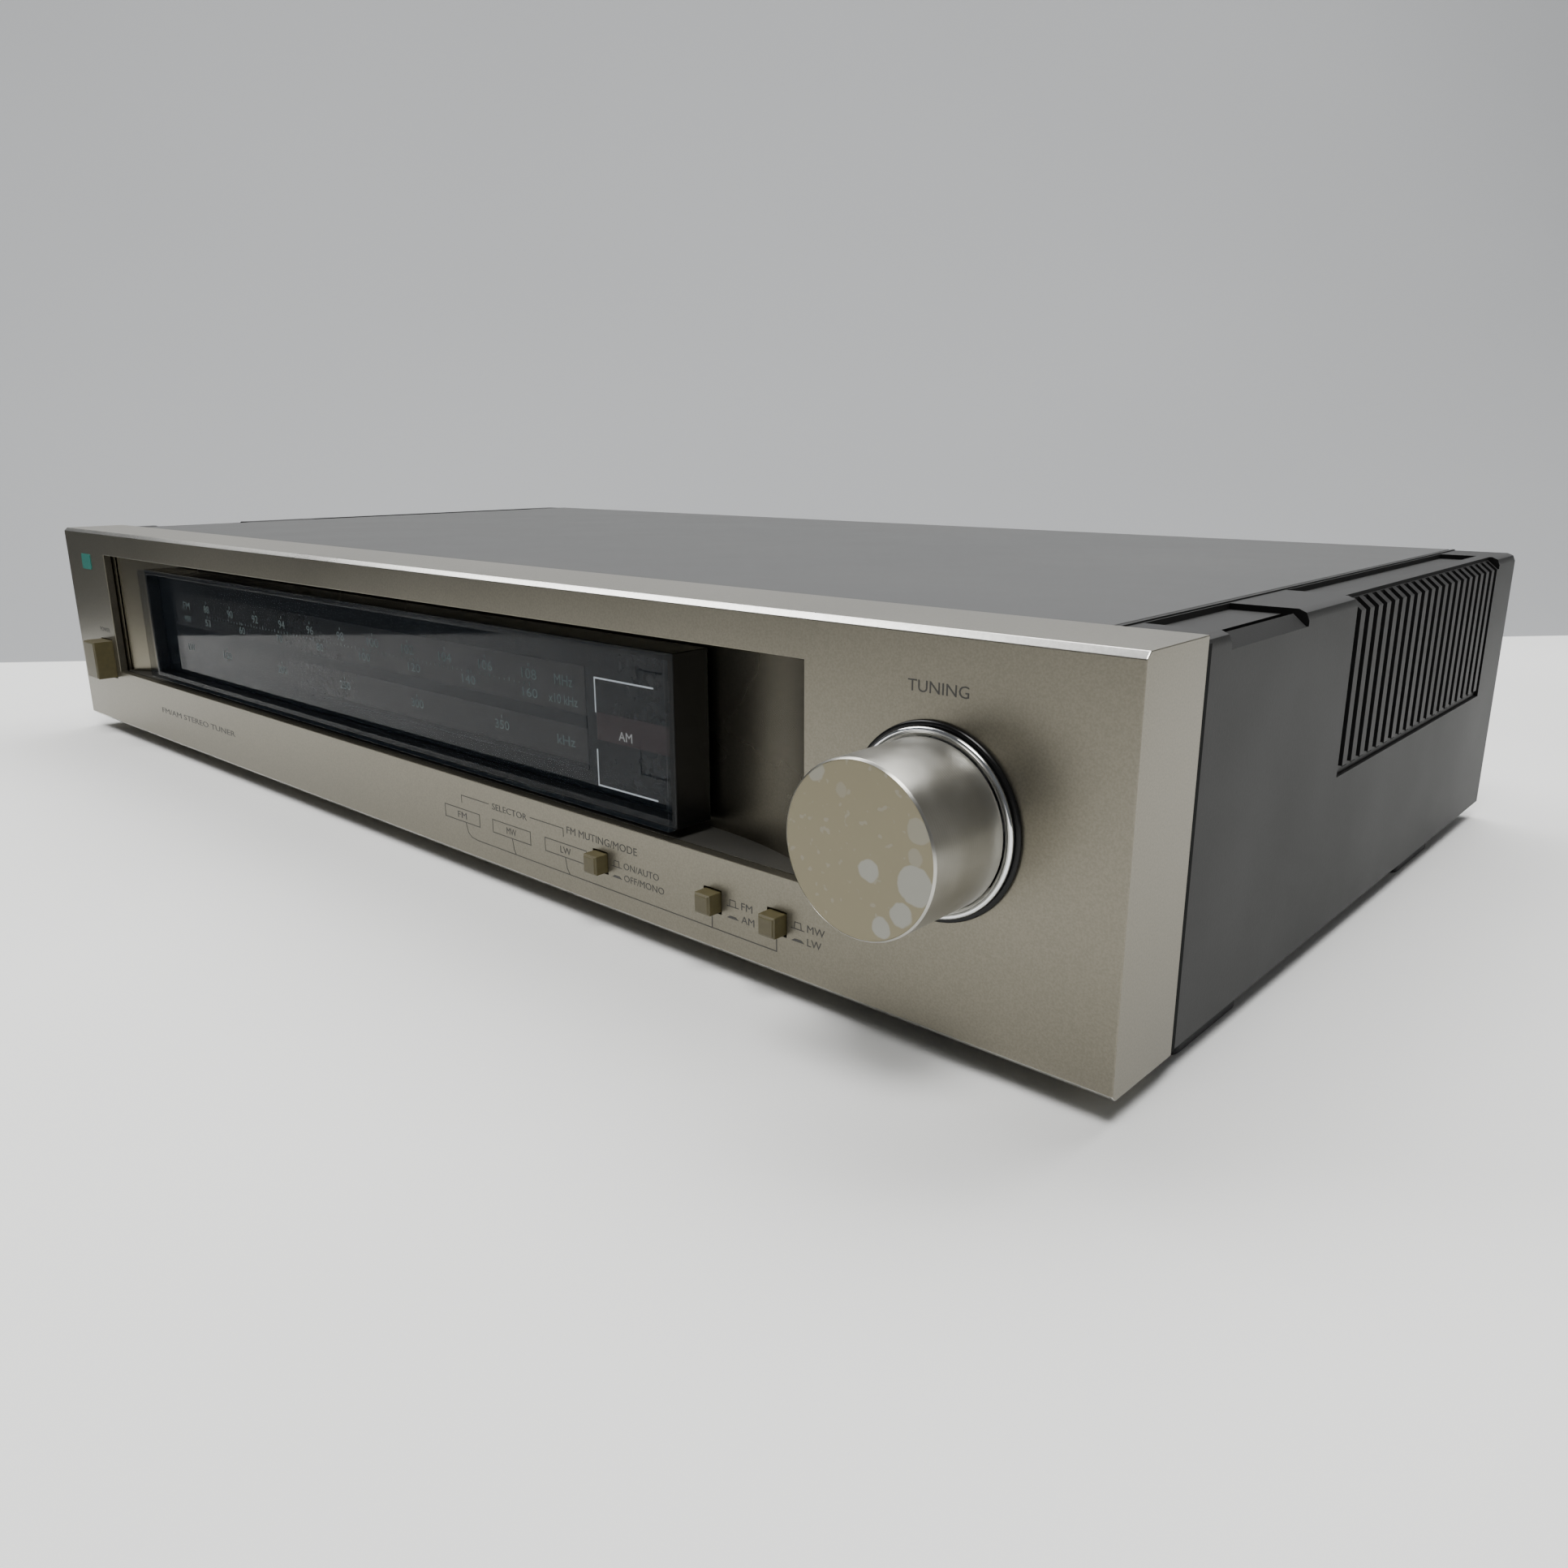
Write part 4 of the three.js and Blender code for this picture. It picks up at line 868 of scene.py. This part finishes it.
def push_symbols(left, words, ends):
    """The two states of a push button: standing out, and pressed in, each with its word."""
    base = stroke([(left - 0.1, 11.05), (left + 3.2, 11.05)], 0.18)
    pressed = slab(
        [(left - 0.1, 8.5), (left + 3.2, 8.5), (left + 2.4, 9.05), (left + 0.8, 9.05)], -INK, INK_ROOT)
    hat = stroke([(left + 0.7, 11.1), (left + 0.8, 12.4), (left + 2.3, 12.4), (left + 2.4, 11.1)], 0.18)
    parts = [base, hat, pressed]
    text_left = left + 3.9
    for word, low, right in ((words[0], 11.05, ends[0]), (words[1], 8.35, ends[1])):
        parts.append(lettering(word, text_left, right, low, low + 1.5))
    return merged(parts)


def button_words():
    rows = [
        ("muting", 96.3, ("ON/AUTO", "OFF/MONO"), (111.4, 112.9)),
        ("band", 131.4, ("FM", "AM"), (138.3, 138.8)),
        ("wave", 148.5, ("MW", "LW"), (156.7, 155.9)),
    ]
    for name, left, words, ends in rows:
        add_piece(f"words_{name}", push_symbols(left, words, ends), "ink", "cabinet")
    heading = lettering("FM MUTING/MODE", 80.9, 104.7, 15.0, 16.7)
    add_piece("word_muting_mode", heading, "ink", "cabinet")


def kind_of_set():
    """The plain words for what the object is, a small plain colour plate, and the word over the power button."""
    words = lettering("FM/AM STEREO TUNER", -145, -88, 10.4, 12.2)
    add_piece("words_kind", words, "ink", "cabinet")
    plate = rounded_plate(-200.5, -192, 56.4, 61.9, 0.8, -0.25, 0.02)
    add_piece("colour_plate", plate, "teal", "cabinet")
    power = lettering("POWER", -193.2, -183.8, 34.2, 35.8)
    add_piece("word_power", power, "ink", "cabinet")


def rounded_plate(left, right, low, high, corner, front, back, steps=6):
    corners = []
    for cx, cz, start in (
        (right - corner, high - corner, 0), (left + corner, high - corner, 90),
        (left + corner, low + corner, 180), (right - corner, low + corner, 270),
    ):
        for i in range(steps + 1):
            angle = math.radians(start + 90 * i / steps)
            corners.append((cx + corner * math.cos(angle), cz + corner * math.sin(angle)))
    return slab(corners, front, back)


# ---------------------------------------------------------------- knob

def knob_pieces():
    low, high = span("tuning_knob")
    centre = axis_point("tuning_knob")
    radius = (high.x - low.x) / 2
    front, back = low.y, high.y
    edge, groove_pitch, groove_depth = 0.32, 0.55, 0.012
    side = [(radius - edge, front), (radius - 0.08, front + edge - 0.05), (radius, front + edge + 0.1)]
    y = front + 1.2
    while y < back - 0.6:
        side += [(radius, y), (radius - groove_depth, y + 0.1), (radius, y + 0.2)]
        y += groove_pitch
    hollow = radius - 2.4
    hub, bore, floor = 5.55, 3.05, front + 4
    rim = radius - edge - 0.04
    body = [(0, front + 0.12), (rim, front + 0.12), *side, (radius, back - 0.3), (radius - 0.3, back)]
    body += [
        (hollow, back), (hollow, floor + 1), (hub, floor + 1), (hub, back), (bore, back), (bore, floor), (0, floor),
    ]
    knob = add_piece("tuning_knob_body", lathe(body, centre, sides=160), "aluminium", "tuning")
    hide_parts("tuning_knob")
    face = [(0, front + 0.03), (rim - 0.3, front + 0.03), (rim, front + 0.06), (rim, front + 0.4), (0, front + 0.4)]
    add_piece("tuning_knob_face", lathe(face, centre, sides=160), "face", "tuning")


def bezel_pieces():
    low, high = span("knob_bezel")
    outer = (high.x - low.x) / 2
    front, back = low.y, high.y
    seat, tube, inner = 15.9, 16.3, 13.6
    profile = [
        (seat, front + 0.2), (seat + 0.15, front + 0.05), (seat + 0.4, front), (outer - 0.45, front),
        (outer - 0.2, front + 0.08), (outer - 0.05, front + 0.25), (outer, front + 0.5), (outer, -0.3), (tube, -0.3),
        (tube, back), (inner, back), (inner, back - 1.2), (seat, back - 1.2), (seat, front + 0.2),
    ]
    bezel = add_piece("knob_bezel_body", lathe(profile, axis_point("knob_bezel")), "bezel", "cabinet")
    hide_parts("knob_bezel")


def trim_ring_pieces():
    """A chrome ring with a rounded lip in front of the bezel, and a satin slope inside it."""
    low, high = span("knob_trim_ring")
    outer = (high.x - low.x) / 2
    inner, tube, front, back = outer - 1.43, outer - 0.5, low.y, high.y
    half, lip_back = 0.5, front + 0.7
    crown = [
        (outer - half + half * math.cos(angle), front + half - half * math.sin(angle))
        for angle in [math.pi * i / 16 for i in range(14)]
    ]
    slope_top = (outer - 2 * half - 0.02, front + 0.28)
    profile = [
        (outer, lip_back), *crown, slope_top, (inner, front + 0.42), (inner, back - 1.2),
        (inner - 1.2, back - 1.2), (inner - 1.2, back), (tube, back), (tube, lip_back), (outer, lip_back),
    ]
    centre = axis_point("knob_trim_ring")
    ring = add_piece("knob_trim_ring_body", lathe(profile, centre), "chrome", "cabinet")
    slope_radius = slope_top[0] * MM

    def on_slope(face):
        spoke = face.center - centre
        return Vector((spoke.x, 0, spoke.z)).length < slope_radius and face.normal.y < -0.1

    recolour(ring, "satin", on_slope)
    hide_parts("knob_trim_ring")


# ---------------------------------------------------------------- buttons, case, inside and rear

def dress_buttons():
    for name, bevel in (("power", 0.45), ("muting", 0.3), ("band", 0.3), ("wave", 0.3)):
        refined(f"{name}_button", "khaki", bevel=bevel)
        body = "gloss" if name == "power" else "white"
        refined(f"{name}_switch", body, bevel=0.3)


def dress_case():
    refined("top_cover", "case", bevel=0.3)
    refined("rear_panel", "case", bevel=0.15)
    refined("chassis_pan", "zinc", bevel=0.15)
    refined("front_bracket", "zinc", bevel=0.15)
    for side in ("left", "right"):
        dress_side_panel(f"side_panel_{side}")
        for end in ("front", "rear"):
            refined(f"foot_{end}_{side}", "rubber", bevel=0.7, segments=3)


def dress_side_panel(node):
    """Painted shade: the walls of the moulding's pockets and vents, the hollow inside it, and its front end where it
    meets the fascia get a near-black in place of their shadow.
    """
    panel = refined(node, "moulded", bevel=0.22)
    low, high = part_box(node)
    pockets_from = high.z - 3.6 * MM
    vents = 2.9 * MM

    def shaded(face):
        depth = min(face.center.x - low.x, high.x - face.center.x)
        behind_walls = depth > 2.1 * MM and face.center.y > low.y + 2 * MM
        if behind_walls and low.z + 2 * MM < face.center.z < high.z - 3.7 * MM:
            return True
        sideways = abs(face.normal.z) < 0.3
        near_top = face.center.z > pockets_from
        inner_wall = low.x + 1.5 * MM < face.center.x < high.x - 1.5 * MM
        front_end = face.normal.y < -0.9 and face.center.y < low.y + 0.1 * MM
        slot_wall = abs(face.normal.y) > 0.9 and 0.3 * MM < depth < vents and not front_end
        return front_end or slot_wall or (sideways and near_top and inner_wall)

    # painted shade: the chosen faces get the near-black
    recolour(panel, "deep", shaded)


def cross_recess_screw(node, recess=1.0):
    """A pan-head screw with a cross cut into its head."""
    low, high = span(node)
    centre = axis_point(node)
    head, dome, shank, steps = (high.x - low.x) / 2, 1.7, 1.5, 8
    rim = high.y - dome
    profile = [
        (0, low.y), (shank - 0.3, low.y), (shank, low.y + 0.5), (shank, rim - 0.2), (head - 0.2, rim - 0.2),
        (head, rim),
    ]
    for i in range(1, steps + 1):
        angle = math.pi / 2 * i / steps
        profile.append((head * math.cos(angle) if i < steps else 0, rim + dome * math.sin(angle)))
    screw = add_piece(f"{node}_body", lathe(profile, centre, sides=40), "zinc", "cabinet", sharp=35)
    cutter_mesh = bpy.data.meshes.new("cutter")
    for across, tall in ((2.0, 0.55), (0.55, 2.0)):
        arm = slab(rectangle(-across, across, -tall, tall), high.y - recess, high.y + 1)
        bmesh.ops.translate(arm, verts=arm.verts, vec=centre - at(0, 0, 0))
        bmesh.ops.recalc_face_normals(arm, faces=arm.faces)
        arm.to_mesh(cutter_mesh)
        arm.free()
        carve(screw, cutter_mesh)
    bpy.data.meshes.remove(cutter_mesh)
    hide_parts(node)


def carve(obj, cutter_mesh):
    cutter = bpy.data.objects.new("cutter", cutter_mesh)
    bpy.context.scene.collection.objects.link(cutter)
    modifier = obj.modifiers.new("carve", "BOOLEAN")
    modifier.operation = "DIFFERENCE"
    modifier.solver = "EXACT"
    modifier.object = cutter
    bpy.context.view_layer.update()
    result = bpy.data.meshes.new_from_object(obj.evaluated_get(bpy.context.evaluated_depsgraph_get()))
    obj.modifiers.clear()
    obj.data = result
    bpy.data.objects.remove(cutter)


def joint_strips():
    """Painted shadow: black strips outside the joints between the fascia and the side panels, standing for the
    shadow in the gap there.
    """
    corner = span("front_fascia")[1]
    reach = corner.x - 0.2
    for side in ("left", "right"):
        low, high = span(f"side_panel_{side}")
        left, right = (high.x + 0.03, reach) if side == "right" else (-reach, low.x - 0.03)
        strip = slab(rectangle(left, right, low.z + 0.3, high.z - 1.2), corner.y + 0.05, corner.y + 1.6)
        # painted shadow strip beside the joint
        add_piece(f"painted_shadow_strip_{side}", strip, "deep", "cabinet")


def dress_screws():
    for i in (1, 2, 3):
        cross_recess_screw(f"cover_screw_{i}")


def dress_inside():
    """The hidden parts keep their CAD shapes and only get their materials."""
    finishes = [
        ("tuning_shaft", "zinc"), ("shaft_bushing", "brass"), ("flywheel", "zinc"), ("dial_drum", "white"),
        ("idler_pulley", "white"), ("idler_pin", "zinc"), ("capacitor_rotor", "brass"), ("capacitor_frame", "zinc"),
        ("dial_pointer", "red"), ("pointer_rail", "zinc"), ("dial_string", "white"), ("dial_lamp_left", "white"),
        ("dial_lamp_right", "white"), ("light_reflector", "white"), ("circuit_board", "board"),
        ("power_transformer", "copper"), ("tuner_shield_can", "zinc"), ("filter_capacitor_large", "blue"),
        ("filter_capacitor_small", "blue"), ("regulator_heat_sink", "sink"),
    ]
    for node, material in finishes:
        for material_slot in NODES[node].material_slots:
            material_slot.material = MATERIALS[material]


def rear_words():
    """Plain words beside the sockets, read from behind."""
    surface = span("rear_panel")[1].y
    gap, tall = 2, 2.4

    def word(text, left, right, foot):
        return lettering(text, left, right, foot, foot + tall, surface, facing_rear=True)

    low, high = span("output_jacks")
    words = [word("OUTPUT", low.x + 3, high.x - 3, high.z + gap)]
    for letter, share in (("L", 0.75), ("R", 0.25)):
        height = low.z + share * (high.z - low.z)
        words.append(word(letter, high.x + gap, high.x + gap + 1.6, height - tall / 2))
    low, high = span("antenna_terminals")
    middle = (low.x + high.x) / 2
    words.append(word("ANTENNA", middle - 9, middle + 9, high.z + gap))
    add_piece("words_rear", merged(words), "pale_ink", "cabinet")


def dress_rear():
    """Everything on the rear panel; what stands out past the sockets' own plates is metal."""
    beyond_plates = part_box("rear_panel")[1].y + 3.2 * MM
    for node in ("output_jacks", "antenna_terminals"):
        part = refined(node, "gloss", bevel=0.25)
        recolour(part, "nickel", lambda face: face.center.y > beyond_plates)
    rear_words()
    refined("antenna_bracket", "gloss", bevel=0.25)
    refined("cord_gland", "rubber", bevel=0.25)
    refined("antenna_bar", "ferrite", bevel=0.3)


make_camera()
make_lights()
make_stage()
dress_fascia()
dress_tray()
dress_dial()
dial_fields()
dial_numbers()
fine_scale()
glass_brackets()
tuning_word()
selector_diagram()
button_words()
kind_of_set()
knob_pieces()
bezel_pieces()
trim_ring_pieces()
dress_buttons()
dress_case()
# painted shadow strips at the fascia's joints with the side panels
joint_strips()
dress_screws()
dress_inside()
dress_rear()
